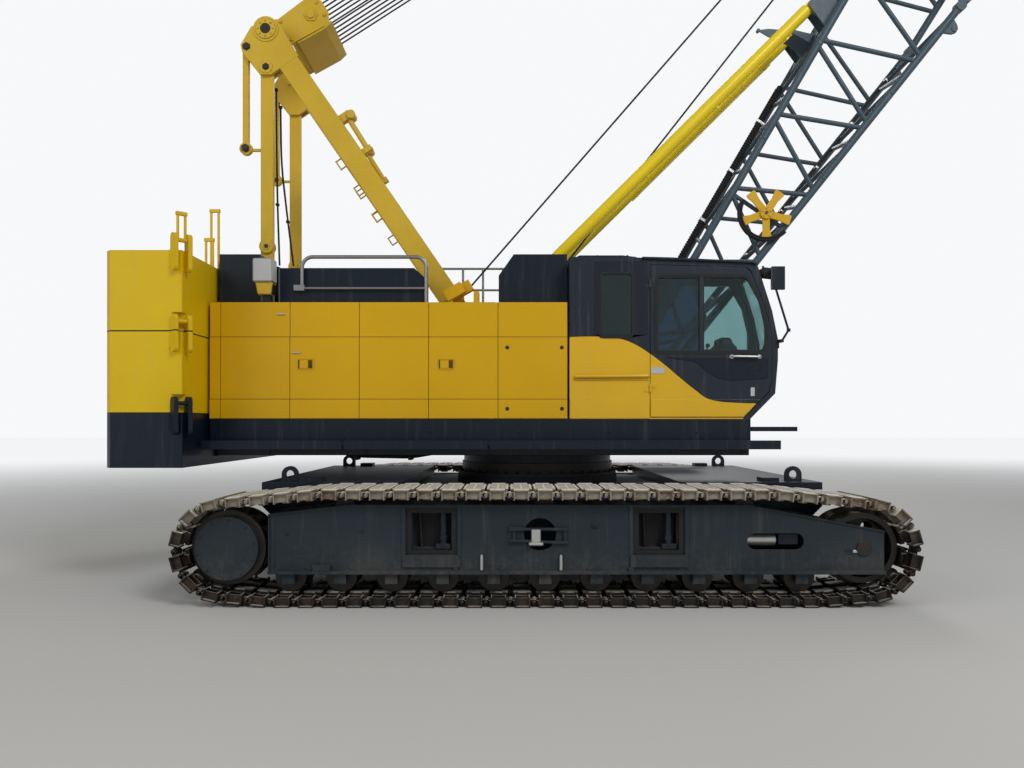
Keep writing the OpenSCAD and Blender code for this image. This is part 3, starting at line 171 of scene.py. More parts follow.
# Shader groups
def tint(red, green, blue):
    """A colour as it looks on a screen, from 0 to 255, made linear."""
    def linear(v):
        v /= 255
        return v / 12.92 if v <= 0.04045 else ((v + 0.055) / 1.055) ** 2.4
    return (linear(red), linear(green), linear(blue), 1)


class Tree:
    """A node tree with short ways to add and link its nodes."""

    def __init__(self, tree):
        self.tree = tree

    def add(self, kind, settings=(), **inputs):
        node = self.tree.nodes.new("ShaderNode" + kind)
        for key, value in dict(settings).items():
            setattr(node, key, value)
        for key, value in inputs.items():
            self.put(value, node.inputs[int(key[1:]) if key[1:].isdigit() else key.replace("_", " ")])
        return node

    def put(self, value, slot):
        """Links another node's output to a slot, or sets the slot to a plain value."""
        if isinstance(value, bpy.types.NodeSocket):
            self.tree.links.new(value, slot)
        else:
            slot.default_value = value

    def math(self, operation, a, b=0.0, clamp=False):
        settings = {"operation": operation, "use_clamp": clamp}
        return self.add("Math", settings, i0=a, i1=b).outputs[0]

    def times(self, a, b, clamp=False):
        return self.math("MULTIPLY", a, b, clamp)

    def plus(self, a, b, clamp=False):
        return self.math("ADD", a, b, clamp)

    def minus(self, a, b, clamp=False):
        return self.math("SUBTRACT", a, b, clamp)

    def split(self, vector):
        """The X, Y and Z of a vector."""
        return self.add("SeparateXYZ", Vector=vector).outputs

    def ramp(self, value, low, high):
        """0 below low, 1 above high and smooth between them."""
        node = self.add("MapRange", {"interpolation_type": "SMOOTHSTEP"}, Value=value,
                        From_Min=low, From_Max=high)
        return node.outputs["Result"]

    def mix(self, share, a, b, blend="MIX"):
        node = self.add("Mix", {"data_type": "RGBA", "blend_type": blend})
        for slot, value in zip((0, 6, 7), (share, a, b)):
            self.put(value, node.inputs[slot])
        return node.outputs[2]

    def noise(self, vector, scale, detail=3.0, roughness=0.5):
        node = self.add("TexNoise", Vector=vector, Scale=scale, Detail=detail, Roughness=roughness)
        return node.outputs["Fac"]

    def stretched(self, vector, scale):
        return self.add("Mapping", Vector=vector, Scale=scale).outputs[0]

    def where(self):
        return self.add("TexCoord").outputs["Object"]


def new_group(name, inputs):
    """A shader group with inputs (name, default) that puts out a colour, a roughness and a height."""
    group = bpy.data.node_groups.new(name, "ShaderNodeTree")
    for title, default in inputs:
        kind = "NodeSocketColor" if isinstance(default, tuple) else "NodeSocketFloat"
        group.interface.new_socket(title, in_out="INPUT", socket_type=kind).default_value = default
    for title, kind in (("Colour", "Color"), ("Roughness", "Float"), ("Height", "Float")):
        group.interface.new_socket(title, in_out="OUTPUT", socket_type="NodeSocket" + kind)
    given, out = group.nodes.new("NodeGroupInput"), group.nodes.new("NodeGroupOutput")
    return Tree(group), given.outputs, out.inputs


def make_weather_group():
    """Paint that has been outside: faded, streaked, dusty on top and low down, chipped at its edges."""
    t, g, out = new_group(
        "weather",
        [("Colour", (0.5, 0.5, 0.5, 1)), ("Fade", 0.12), ("Streaks", 0.3), ("Dust", 0.4),
         ("Dust Colour", tint(176, 160, 138)), ("Dust Height", 1.2), ("Chips", 0.3),
         ("Chip Colour", tint(70, 48, 34)), ("Roughness", 0.4)])
    where = t.where()
    across = t.split(where)
    normal = t.split(t.add("NewGeometry").outputs["Normal"])
    broad = t.noise(where, 0.9, 4, 0.6)
    fine = t.noise(where, 22, 6, 0.65)
    # Fading: broad pale and dark clouds
    cloud = t.times(t.minus(broad, 0.5), g["Fade"])
    bright = t.plus(1.0, t.times(cloud, 2.4))
    faded = t.mix(1.0, g["Colour"], t.add("CombineColor", Red=bright, Green=bright, Blue=bright).outputs[0],
                  "MULTIPLY")
    # Streaks that run down the sides
    runs = t.noise(t.stretched(where, (7, 7, 0.45)), 2.2, 5, 0.6)
    side = t.minus(1.0, t.math("ABSOLUTE", normal["Z"]), True)
    streak = t.times(t.times(t.ramp(runs, 0.52, 0.78), side), g["Streaks"])
    streaked = t.mix(streak, faded, t.mix(0.55, faded, g["Dust Colour"]))
    # Dust on what faces up and on what stands low
    up = t.ramp(normal["Z"], 0.35, 0.95)
    low = t.minus(1.0, t.math("DIVIDE", across["Z"], g["Dust Height"]), True)
    lies = t.plus(t.times(up, 0.75), t.times(low, 0.8), True)
    patch = t.ramp(t.plus(t.times(broad, 0.6), t.times(fine, 0.4)), 0.36, 0.66)
    dust = t.times(t.times(lies, patch), g["Dust"], True)
    dusty = t.mix(dust, streaked, g["Dust Colour"])
    # Worn edges and chips
    soft = t.add("Bevel", {"samples": 4}, Radius=0.012).outputs[0]
    flat = t.add("NewGeometry").outputs["Normal"]
    bend = t.minus(1.0, t.add("VectorMath", {"operation": "DOT_PRODUCT"}, i0=soft, i1=flat)
                  .outputs["Value"])
    edge = t.times(t.ramp(bend, 0.12, 0.38), t.ramp(fine, 0.42, 0.6))
    spot = t.ramp(t.noise(where, 9, 8, 0.7), 0.70, 0.74)
    worn = t.times(t.plus(edge, spot, True), g["Chips"], True)
    coloured = t.mix(worn, dusty, g["Chip Colour"])
    rough = t.plus(g["Roughness"], t.times(t.plus(dust, worn), 0.4))
    rough = t.plus(rough, t.times(t.minus(fine, 0.5), 0.12), True)
    height = t.minus(t.times(fine, 0.10), t.times(worn, 0.6))
    t.put(coloured, out["Colour"])
    t.put(rough, out["Roughness"])
    t.put(height, out["Height"])
    return t.tree


def make_rust_group():
    """Bare steel that rusts: brown clouds, orange spots, grease in patches."""
    t, g, out = new_group(
        "rust",
        [("Steel", tint(70, 66, 62)), ("Rust", tint(105, 66, 42)), ("Amount", 0.6), ("Dust", 0.4),
         ("Dust Colour", tint(196, 184, 166))])
    where = t.where()
    normal = t.split(t.add("NewGeometry").outputs["Normal"])
    broad = t.noise(where, 3.5, 5, 0.6)
    fine = t.noise(where, 45, 6, 0.7)
    share = t.plus(t.times(broad, 0.6), t.times(fine, 0.4))
    edge = t.minus(0.78, t.times(g["Amount"], 0.5))
    rusty = t.ramp(share, edge, t.plus(edge, 0.16))
    deep = t.mix(t.ramp(fine, 0.4, 0.62), g["Rust"], t.mix(0.25, g["Rust"], tint(140, 92, 58)))
    base = t.mix(rusty, g["Steel"], deep)
    up = t.ramp(normal["Z"], 0.45, 0.95)
    dust = t.times(t.times(up, g["Dust"]), t.ramp(share, 0.3, 0.55), True)
    t.put(t.mix(dust, base, g["Dust Colour"]), out["Colour"])
    t.put(t.plus(0.42, t.times(t.plus(rusty, dust), 0.4), True), out["Roughness"])
    t.put(t.plus(t.times(fine, 0.5), t.times(rusty, 0.3)), out["Height"])
    return t.tree


WEATHER = make_weather_group()
RUST = make_rust_group()
MATERIALS = {}


def start_material(name, slot, **values):
    """A new material: its tree and its shader, with plain values set. The slot is not used."""
    material = bpy.data.materials.new(name)
    material.use_nodes = True
    t = Tree(material.node_tree)
    shader = material.node_tree.nodes["Principled BSDF"]
    for key, value in values.items():
        shader.inputs[key.replace("_", " ")].default_value = value
    MATERIALS[name] = material
    return t, shader


def put_group(t, shader, group, bump, round_edge=True, **inputs):
    """Places a group in a material and feeds its shader, with softened edges if round_edge."""
    node = t.tree.nodes.new("ShaderNodeGroup")
    node.node_tree = group
    for key, value in inputs.items():
        t.put(value, node.inputs[key.replace("_", " ")])
    t.put(node.outputs["Colour"], shader.inputs["Base Color"])
    t.put(node.outputs["Roughness"], shader.inputs["Roughness"])
    raised = t.add("Bump", Strength=bump, Distance=0.004, Height=node.outputs["Height"])
    if round_edge:
        soft = t.add("Bevel", {"samples": 4}, Radius=0.007).outputs[0]
        t.put(soft, raised.inputs["Normal"])
    t.put(raised.outputs[0], shader.inputs["Normal"])


def painted(name, slot, colour, bump=0.10, coat=0.0, **weather):
    t, shader = start_material(name, slot, Specular_IOR_Level=0.3, Coat_Weight=coat, Coat_Roughness=0.25)
    put_group(t, shader, WEATHER, bump, Colour=colour, **weather)


def bare(name, slot, metallic, bump=0.5, **rust):
    t, shader = start_material(name, slot, Metallic=metallic)
    put_group(t, shader, RUST, bump, **rust)


def shoe_steel():
    """Steel of the track: paler and dustier on the upper run, with a painted sheen of the bright sky on top,
    and darker on the lower one.
    """
    t, shader = start_material("shoe_steel", "track_steel", Metallic=0.15)
    high = t.ramp(t.split(t.where())["Z"], 0.55, 1.05)
    # On the upper run, the pale steel and rust colours and the extra dust are partly a painted sheen of the
    # sky
    put_group(t, shader, RUST, 0.6, Amount=0.6, Dust_Colour=tint(236, 229, 216),
              Steel=t.mix(high, tint(30, 26, 23), tint(150, 140, 124)),
              Rust=t.mix(high, tint(52, 38, 29), tint(112, 94, 76)),
              Dust=t.plus(0.5, t.times(high, 2.5)))


YELLOW = tint(224, 176, 0)
NAVY = tint(7, 22, 37)


def seam_shaded(name, slot, colour, seam_shade_colour, levels, width, **weather):
    """Paint with a dark line at each of the given heights, the joints of blocks and the folds of panels: the
    line is painted shade in the gap or the crease.
    """
    t, shader = start_material(name, slot, Specular_IOR_Level=0.3)
    z = t.split(t.where())["Z"]
    lines = [t.math("LESS_THAN", t.math("ABSOLUTE", t.minus(z, level)), width)
             for level in levels]
    colour = t.mix(t.plus(*lines, True), colour, seam_shade_colour)
    put_group(t, shader, WEATHER, 0.10, Colour=colour, **weather)


def cab_paint():
    """Dark paint, with the yellow field of the cab's lower side under a line that falls forwards."""
    t, shader = start_material("cab_paint", "dark_paint", Coat_Weight=0.3)
    where = t.split(t.where())
    x0, x_span, z0 = 0.30 + SWING_X, 2.20, 1.70
    # The line's points: share of the length from x0, height over z0
    line = [(0.0, 0.98), (0.231, 0.971), (0.282, 0.946), (0.336, 0.894), (0.398, 0.809), (0.476, 0.681),
            (0.554, 0.535), (0.631, 0.399), (0.694, 0.305), (0.740, 0.279), (0.802, 0.265), (1.0, 0.255)]
    share = t.math("DIVIDE", t.minus(where["X"], x0), x_span, True)
    curve = t.add("FloatCurve", Value=share)
    points = curve.mapping.curves[0].points
    while len(points) < len(line):
        points.new(0.5, 0.5)
    for point, (px, pz) in zip(points, line):
        point.location = (px, pz)
        point.handle_type = "AUTO"
    curve.mapping.update()
    over = t.minus(t.minus(where["Z"], z0), curve.outputs[0])
    under = t.math("LESS_THAN", over, 0.0)
    # The field ends at a line that rises along the front's lower edge
    edge_x, edge_slope, skin_depth, seam_half = 0.643, 1.143, 0.052, 0.008
    ahead = t.minus(t.minus(where["X"], SWING_X), t.math("DIVIDE", where["Z"], edge_slope))
    behind = t.math("LESS_THAN", ahead, edge_x)
    side = t.math("GREATER_THAN", t.math("ABSOLUTE", where["Y"]), HOUSE_Y - skin_depth)
    seam = t.math("LESS_THAN", t.math("ABSOLUTE", t.minus(over, seam_half)), seam_half)
    base = t.mix(t.times(seam, side), NAVY, tint(12, 13, 15))
    field = t.mix(t.times(t.times(under, behind), side), base, YELLOW)
    put_group(t, shader, WEATHER, 0.2, Colour=field, Fade=0.12, Streaks=0.25, Dust=0.3, Chips=0.15,
              Roughness=0.32, Chip_Colour=tint(60, 58, 56))


def glass(name, colour):
    t, shader = start_material(name, "window_glass", Base_Color=colour, Transmission_Weight=1.0, IOR=1.45)
    smear = t.noise(t.stretched(t.where(), (3, 3, 9)), 1.6, 4)
    rough = t.times(t.ramp(smear, 0.45, 0.8), 0.10)
    t.put(rough, shader.inputs["Roughness"])


def rope_steel():
    """Wire rope: strands that wind round, read from the piece's own map, u round and v along in metres."""
    t, shader = start_material("rope_steel", "wire_rope", Metallic=0.6, Roughness=0.5)
    where = t.split(t.add("TexCoord").outputs["UV"])
    turn = t.plus(t.times(where["X"], 6), t.times(where["Y"], 36))
    strand = t.math("ABSOLUTE", t.math("SINE", t.times(turn, math.pi)))
    wire = t.math("SINE", t.times(t.minus(t.times(where["Y"], 300), turn), 6))
    height = t.plus(strand, t.times(wire, 0.12))
    colour = t.mix(t.ramp(strand, 0.15, 0.8), tint(18, 17, 16), tint(74, 72, 70))
    grease = t.noise(t.where(), 3, 4)
    t.put(t.mix(t.ramp(grease, 0.5, 0.7), colour, tint(34, 30, 26)), shader.inputs["Base Color"])
    raised = t.add("Bump", Strength=0.9, Distance=0.003, Height=height)
    t.put(raised.outputs[0], shader.inputs["Normal"])


def plain_stuff(name, slot, colour, roughness, grain=40, bump=0.3, metallic=0.0, spread=0.15):
    """Rubber, plastic or cloth: one colour with a fine grain."""
    t, shader = start_material(name, slot, Metallic=metallic)
    grain_height = t.noise(t.where(), grain, 4, 0.6)
    darker = tuple(c * (1 - spread) for c in colour[:3]) + (1,)
    lighter = tuple(min(1, c * (1 + spread)) for c in colour[:3]) + (1,)
    t.put(t.mix(grain_height, darker, lighter), shader.inputs["Base Color"])
    rough = t.plus(roughness - 0.08, t.times(grain_height, 0.16), True)
    t.put(rough, shader.inputs["Roughness"])
    raised = t.add("Bump", Strength=bump, Distance=0.002, Height=grain_height)
    t.put(raised.outputs[0], shader.inputs["Normal"])


def make_materials():
    # The second colour of each is painted shade: in the creases at the folds of the house panels and in the
    # gaps between the counterweight's blocks
    seam_shaded("panel_paint", "panel_yellow", tint(214, 166, 0), tint(110, 76, 2), FOLDS_Z, 0.004,
           Fade=0.08, Streaks=0.10, Dust=0.08, Chips=0.10, Roughness=0.42)
    seam_shaded("weight_paint", "weight_yellow", tint(222, 184, 2), tint(26, 22, 12), WEIGHT_JOINTS_Z, 0.007,
           Fade=0.10, Streaks=0.18, Dust=0.15, Chips=0.3, Roughness=0.45)
    painted("gantry_paint", "gantry_yellow", tint(206, 170, 44), Fade=0.25, Streaks=0.45, Dust=0.35,
            Chips=0.75, Roughness=0.5)
    painted("stop_paint", "stop_yellow", tint(238, 208, 16), coat=0.2, Fade=0.10, Streaks=0.15,
            Dust=0.15, Chips=0.04, Roughness=0.34, bump=0.03, round_edge=False)
    painted("dark_paint", "dark_paint", NAVY, coat=0.1, Fade=0.2, Streaks=0.12, Dust=0.12, Chips=0.15,
            Roughness=0.4, Chip_Colour=tint(96, 92, 88))
    # Painted shade: the frame's colour is set darker than its paint, as if in shade
    painted("frame_paint", "frame_paint", tint(36, 46, 53), Fade=0.2, Streaks=0.15, Dust=0.25,
            Chips=0.25, Roughness=0.5, Dust_Height=0.7)
    painted("pale_paint", "greased_steel", tint(186, 188, 186), Fade=0.2, Streaks=0.3, Dust=0.3, Chips=0.3,
            Roughness=0.5)
    # Painted shade: the boom's colour is set darker than its paint, as if in shade
    painted("boom_paint", "boom_paint", tint(66, 82, 92), Fade=0.2, Streaks=0.25, Dust=0.25, Chips=0.1,
            Roughness=0.45, bump=0.05, round_edge=False)
    shoe_steel()
    bare("oily_steel", "greased_steel", 0.6, Steel=tint(58, 55, 52), Rust=tint(84, 60, 44), Amount=0.45,
         Dust=0.35)
    bare("rod_steel", "greased_steel", 0.9, Steel=tint(150, 150, 150), Rust=tint(104, 84, 66),
         Amount=0.2, Dust=0.1, bump=0.1)
    cab_paint()
    glass("tinted_glass", tint(166, 194, 194))
    glass("deep_glass", tint(40, 62, 98))
    rope_steel()
    bare("bright_steel", "greased_steel", 0.9, Steel=tint(205, 205, 202), Rust=tint(150, 140, 128),
         Amount=0.12, Dust=0.1, bump=0.1)
    painted("gloss_black", "dark_paint", tint(14, 22, 34), coat=0.6, bump=0.05, Fade=0.1, Streaks=0.15,
            Dust=0.15, Chips=0.05, Roughness=0.16)
    plain_stuff("black_rubber", "seat_trim", tint(24, 24, 25), 0.75)
    plain_stuff("seat_cloth", "seat_trim", tint(42, 44, 50), 0.85, grain=160, bump=0.6)
    plain_stuff("cab_plastic", "seat_trim", tint(70, 72, 76), 0.6, grain=90)
    plain_stuff("mirror_face", "seat_trim", tint(200, 205, 208), 0.12, grain=2, bump=0.0, metallic=1.0,
                spread=0.02)
    plain_stuff("lamp_glass", "window_glass", tint(226, 228, 222), 0.2, grain=30, bump=0.2)


def both(part):
    return [part + "_right", part + "_left"]


MATERIAL_OF = {
    "shoe_steel": both("track"),
    "frame_paint": ["carbody", *both("side_frame"), "winch_frame"],
    "dark_paint": ["carbody_weight_front", "carbody_weight_rear", "deck", *both("platform"),
                   "hood_rear", "hood_middle", "hood_front", "counterweight_lower", "mirror_arm"],
    "cab_paint": ["cab_shell", "cab_door"],
    "panel_paint": [*both("house"), *(f"house_door_{i + 1}" for i in range(DOOR_COUNT)),
                    "cable_reel", "hook_block"],
    "weight_paint": ["counterweight_middle", "counterweight_upper"],
    "gantry_paint": ["gantry_front_legs", "gantry_rear_legs", "gantry_head", "gantry_block", "bridle"],
    "stop_paint": ["backstop_tubes"],
    "boom_paint": ["boom_butt", "boom_tip"],
    "oily_steel": ["swing_ring", *both("drive_wheel"), *both("idler"), *both("rollers"), "boom_head",
                   "drum_front", "drum_rear", "drum_boom_hoist", "engine_block"],
    "rod_steel": ["backstop_rods", "handrails"],
    "rope_steel": ["reeving", "hoist_rope_rear", "hoist_rope_rear_end", "hoist_rope_front",
                   "hoist_rope_front_end", "hook_falls"],
    "tinted_glass": ["cab_glass", "cab_door_glass"],
    "cab_plastic": ["cab_seat"],
}


def dress_nodes():
    for material, names in MATERIAL_OF.items():
        for name in names:
            mesh = NODES[name].data
            mesh.materials.clear()
            mesh.materials.append(MATERIALS[material])


# Shapes, drawn into a bmesh
SWING = Matrix.Translation((SWING_X, 0, 0))


def tilted(x, z, angle):
    """A frame whose X runs up at an angle from a point of the crane's side view."""
    return SWING @ Matrix.Translation((x, 0, z)) @ Matrix.Rotation(-angle, 4, "Y")


BOOM = tilted(*BOOM_FOOT, BOOM_ANGLE)


def to_mesh(bm, name):
    mesh = bpy.data.meshes.new(name)
    bm.to_mesh(mesh)
    bm.free()
    return mesh


def round_edges(bm, verts, width):
    chosen = set(verts)
    edges = [e for v in chosen if v.is_valid for e in v.link_edges
             if e.other_vert(v) in chosen and len(e.link_faces) == 2 and e.calc_face_angle(0) > 0.5]
    bmesh.ops.bevel(bm, geom=list(set(edges)), offset=width, segments=1, profile=0.5,
                    affect="EDGES", material=-1)


def box(bm, low, high):
    """A box from its lowest to its highest corner, as its new vertices."""
    place = Matrix.Translation((low + high) / 2) @ Matrix.Diagonal((*(high - low), 1))
    return bmesh.ops.create_cube(bm, size=1, matrix=place)["verts"]


def block(bm, corner, opposite, bevel=0.0):
    """A box between two opposite corners, given in any order."""
    low, high = (Vector(end(pair) for pair in zip(corner, opposite)) for end in (min, max))
    verts = box(bm, low, high)
    if bevel:
        round_edges(bm, verts, bevel)


def rod(bm, start, end, radius, sides=16, end_radius=None):
    start, end = Vector(start), Vector(end)
    turn = (end - start).to_track_quat("Z", "Y").to_matrix().to_4x4()
    bmesh.ops.create_cone(bm, cap_ends=True, segments=sides, radius1=radius,
                          radius2=radius if end_radius is None else end_radius,
                          depth=(end - start).length, matrix=Matrix.Translation((start + end) / 2) @ turn)


def across(bm, x, z, y, radius, sides=24):
    """A round bar across the crane, from y[0] to y[1]."""
    rod(bm, (x, y[0], z), (x, y[1], z), radius, sides)


def plate(bm, outline, y, bevel=0.0):
    """A flat outline of (x, z) points, thick from y[0] to y[1]."""
    verts = [bm.verts.new((x, y[0], z)) for x, z in outline]
    grown = bmesh.ops.extrude_face_region(bm, geom=[bm.faces.new(verts)])["geom"]
    moved = [v for v in grown if isinstance(v, bmesh.types.BMVert)]
    bmesh.ops.translate(bm, verts=moved, vec=(0, y[1] - y[0], 0))
    if bevel:
        round_edges(bm, verts + moved, bevel)


def corner_points(p, before, after, radius, share):
    """Five points that round the corner at p, on at most a share of the way to its neighbours."""
    back, on = before - p, after - p
    reach = min(radius, back.length * share, on.length * share)
    a, b = p + back.normalized() * reach, p + on.normalized() * reach
    return [a.lerp(p, t).lerp(p.lerp(b, t), t) for t in (0, 0.25, 0.5, 0.75, 1)]


def pipe(bm, points, radius, bend=0.0, sides=10):
    """A round bar along points, with bends of a given radius at the inner ones."""
    points = [Vector(p) for p in points]
    route = points[:1]
    for before, p, after in zip(points, points[1:], points[2:]):
        route += corner_points(p, before, after, bend, 0.5) if bend else [p]
    route.append(points[-1])
    curve = bpy.data.curves.new("route", "CURVE")
    curve.dimensions = "3D"
    curve.bevel_depth = radius
    curve.bevel_resolution = max(0, (sides - 4) // 2)
    curve.use_fill_caps = True
    spline = curve.splines.new("POLY")
    spline.points.add(len(route) - 1)
    for point, p in zip(spline.points, route):
        point.co = (*p, 1)
    obj = bpy.data.objects.new("route", curve)
    mesh = obj.to_mesh()
    bm.from_mesh(mesh)
    obj.to_mesh_clear()
    bpy.data.objects.remove(obj)
    bpy.data.curves.remove(curve)


def bolt(bm, place, axis, radius, height):
    """A six-sided head on a washer."""
    place, axis = Vector(place), Vector(axis).normalized()
    rod(bm, place, place + axis * height * 0.25, radius * 1.35, 12)
    rod(bm, place + axis * height * 0.2, place + axis * height, radius, 6)


def bolt_circle(bm, x, z, y, out, ring, count, radius, height, first=0.0):
    for i in range(count):
        a = math.radians(first) + 2 * math.pi * i / count
        bolt(bm, (x + ring * math.cos(a), y, z + ring * math.sin(a)), (0, out, 0), radius, height)


def turned(bm, outline, centre, steps=32):
    """An outline of (radius, y) points spun about the crane's Y through centre = (x, z)."""
    x, z = centre
    verts = [bm.verts.new((x + r, y, z)) for r, y in outline]
    edges = [bm.edges.new(pair) for pair in zip(verts, verts[1:])]
    bmesh.ops.spin(bm, geom=verts + edges, cent=(x, 0, z), axis=(0, 1, 0), dvec=(0, 0, 0),
                   angle=2 * math.pi, steps=steps, use_merge=True)
    bmesh.ops.remove_doubles(bm, verts=bm.verts, dist=1e-6)


def rounded(points, radius):
    """An outline of (x, z) points with its corners rounded."""
    points = [Vector(p) for p in points]
    corners = zip(points, points[-1:] + points[:-1], points[1:] + points[:1])
    return [tuple(q) for corner in corners for q in corner_points(*corner, radius, 0.45)]


def oblong(x, z, radius=0.0):
    """The outline of a rectangle from x[0] to x[1] and z[0] to z[1], rounded if it has a radius."""
    corners = [(x[0], z[0]), (x[1], z[0]), (x[1], z[1]), (x[0], z[1])]
    return rounded(corners, radius) if radius else corners


def offset(points, by):
    """The same outline moved outwards by a distance, inwards if it is negative."""
    count = len(points)
    area = sum(points[i - 1][0] * points[i][1] - points[i][0] * points[i - 1][1] for i in range(count))
    sign = 1 if area > 0 else -1
    result = []
    for i in range(count):
        p, a, b = Vector(points[i]), Vector(points[i - 1]), Vector(points[(i + 1) % count])
        d1, d2 = (p - a).normalized(), (b - p).normalized()
        n = Vector((d1.y + d2.y, -d1.x - d2.x)) * sign
        half = max(0.3, math.sqrt(max(0.0, (1 + d1.dot(d2)) / 2)))
        result.append(tuple(p + n.normalized() * by / half))
    return result


def ring(bm, outer, inner, y):
    """A frame between two outlines that have the same number of points."""
    rows = [[bm.verts.new((x, depth, z)) for x, z in line] for line, depth in
            ((outer, y[0]), (outer, y[1]), (inner, y[1]), (inner, y[0]))]
    count = len(outer)
    for a, b in zip(rows, rows[1:] + rows[:1]):
        for i in range(count):
            j = (i + 1) % count
            bm.faces.new((a[i], a[j], b[j], b[i]))


def piece(name, body, material, draw, frame_matrix=SWING, smooth=35):
    """Makes one piece from draw(bm), places it and lets it ride on a body."""
    bm = bmesh.new()
    draw(bm)
    bmesh.ops.transform(bm, matrix=frame_matrix, verts=bm.verts)
    bmesh.ops.recalc_face_normals(bm, faces=bm.faces)
    return finish_piece(name, body, material, to_mesh(bm, name), smooth)


def finish_piece(name, body, material, mesh, smooth=35):
    mesh.materials.append(MATERIALS[material])
    mesh.polygons.foreach_set("use_smooth", [True] * len(mesh.polygons))
    mesh.set_sharp_from_angle(angle=math.radians(smooth))
    obj = bpy.data.objects.new(name, mesh)
    SCENE.collection.objects.link(obj)
    if body:
        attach(obj, body)
    return obj


# Tracks: every shoe is a cast plate with ribs, guide horns, link ears and pins
SHOE_COUNT = 66
PIN_D = 0.060
END_R = 0.490
SHOE_T = 0.100
GROUND_FLAT = 2.600
TOP_FLAT = 2.150
TRACK_TOP_Z = 1.110


def track_stretches():
    """The loop's stretches as (start x, start z, heading, length, radius), radius 0 where it is straight."""
    r = END_R - PIN_D

    def slope(dx, dz):
        """Length and angle of the straight run from the end of a flat to a wheel."""
        far = math.hypot(dx, dz)
        return math.sqrt(far ** 2 - r * r), math.atan2(dz, dx) - math.asin(r / far)

    def rim(x, a):
        return x + r * math.sin(a), WHEEL_Z - r * math.cos(a)

    low_l, low_a = slope(WHEEL_X - GROUND_FLAT, WHEEL_Z - PIN_D)
    top_l, top_a = slope(WHEEL_X - TOP_FLAT, TRACK_TOP_Z - PIN_D - WHEEL_Z)
    arc = r * (math.pi - low_a - top_a)
    return [(-GROUND_FLAT, PIN_D, 0, 2 * GROUND_FLAT, 0), (GROUND_FLAT, PIN_D, low_a, low_l, 0),
            (*rim(WHEEL_X, low_a), low_a, arc, r),
            (*rim(WHEEL_X, math.pi - top_a), math.pi - top_a, top_l, 0),
            (TOP_FLAT, TRACK_TOP_Z - PIN_D, math.pi, 2 * TOP_FLAT, 0),
            (-TOP_FLAT, TRACK_TOP_Z - PIN_D, math.pi + top_a, top_l, 0),
            (*rim(-WHEEL_X, math.pi + top_a), math.pi + top_a, arc, r),
            (*rim(-WHEEL_X, -low_a), -low_a, low_l, 0)]


def shoe_places():
    """The track's pitch, and the place of each shoe on the loop as (x, z, turn)."""
    stretches = track_stretches()
    pitch = sum(s[3] for s in stretches) / SHOE_COUNT
    places = []
    for i in range(SHOE_COUNT):
        left = (i + 0.5) * pitch
        for x, z, a, length, r in stretches:
            if left <= length:
                break
            left -= length
        turn = a + (left / r if r else 0)
        if r:
            x, z = x + r * (math.sin(turn) - math.sin(a)), z + r * (math.cos(a) - math.cos(turn))
        else:
            x, z = x + left * math.cos(a), z + left * math.sin(a)
        places.append((x, z, turn))
    return pitch, places


def shoe(pitch):
    """One shoe at the origin: X along the track, the ground side at z = -PIN_D."""
    bm = bmesh.new()
    half, ground, inner = SHOE_W / 2, -PIN_D, SHOE_T - PIN_D
    wall, lip, middle = 0.32 * pitch, 0.013, 0.315
    # Ground plate: cross bars, and lengthwise ribs that leave rows of holes between them
    for x in (-0.405, 0, 0.405):
        block(bm, ((x - 0.045) * pitch, -middle, ground), ((x + 0.045) * pitch, middle, ground + 0.016))
    for k in range(7):
        y = -0.29 + k * 0.58 / 6
        block(bm, (-0.37 * pitch, y - 0.025, ground + 0.001), (0.37 * pitch, y + 0.025, ground + 0.017))
    block(bm, (-0.30 * pitch, -0.20, ground + 0.015), (0.30 * pitch, 0.20, ground + 0.060), 0.004)
    # Open channels at both ends: a floor, two walls and a web set back between them
    for side in (-1, 1):
        block(bm, (-wall, side * middle, ground), (wall, side * half, ground + 0.015), 0.002)
        for x in (-wall, wall - lip):
            block(bm, (x, side * middle, ground + 0.005), (x + lip, side * half, inner), 0.002)
        block(bm, (-wall + 0.005, side * (half - 0.045), ground + 0.005),
              (wall - 0.005, side * (half - 0.035), inner - 0.012))
        block(bm, (-wall, side * middle - 0.006, ground), (wall, side * middle + 0.006, inner - 0.01))
    # Roller paths, guide horns and the link ears with their pins
    for y in (-0.13, 0.13):
        block(bm, (-0.40 * pitch, y - 0.06, ground + 0.055), (0.40 * pitch, y + 0.06, inner - 0.003), 0.004)
    horn = [(-0.26 * pitch, ground + 0.06), (0.26 * pitch, ground + 0.06), (0.18 * pitch, inner + 0.012),
            (-0.18 * pitch, inner + 0.012)]
    for y in (-0.25, 0.25):
        plate(bm, horn, (y - 0.022, y + 0.022), 0.006)
    for y in (-0.36, 0.36):
        for k, side in enumerate((-1, 1, -1)):
            low = y - 0.075 + k * 0.05
            across(bm, side * pitch / 2, ground + 0.05, (low + 0.003, low + 0.047), 0.026, 10)
            block(bm, (0.3 * side * pitch, low + 0.003, ground + 0.03),
                  (side * pitch / 2, low + 0.047, ground + 0.064))
        across(bm, -pitch / 2, ground + 0.05, (y - 0.085, y + 0.085), 0.011, 8)
    return to_mesh(bm, "shoe")


def make_tracks():
    pitch, places = shoe_places()
    pattern = shoe(pitch)
    for name, side in (("right", -1), ("left", 1)):
        def draw(bm, side=side):
            for x, z, turn in places:
                start = len(bm.verts)
                bm.from_mesh(pattern)
                bm.verts.ensure_lookup_table()
                place = Matrix.Translation((x, side * TRACK_Y, z)) @ Matrix.Rotation(-turn, 4, "Y")
                bmesh.ops.transform(bm, matrix=place, verts=bm.verts[start:])
        track = piece("track_shoes_" + name, "undercarriage", "shoe_steel", draw)
        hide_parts("track_" + name)


# Undercarriage: covers, borders, brackets and fittings on the side frames, bolts of the swing ring
FRAME_FACE = 2.570


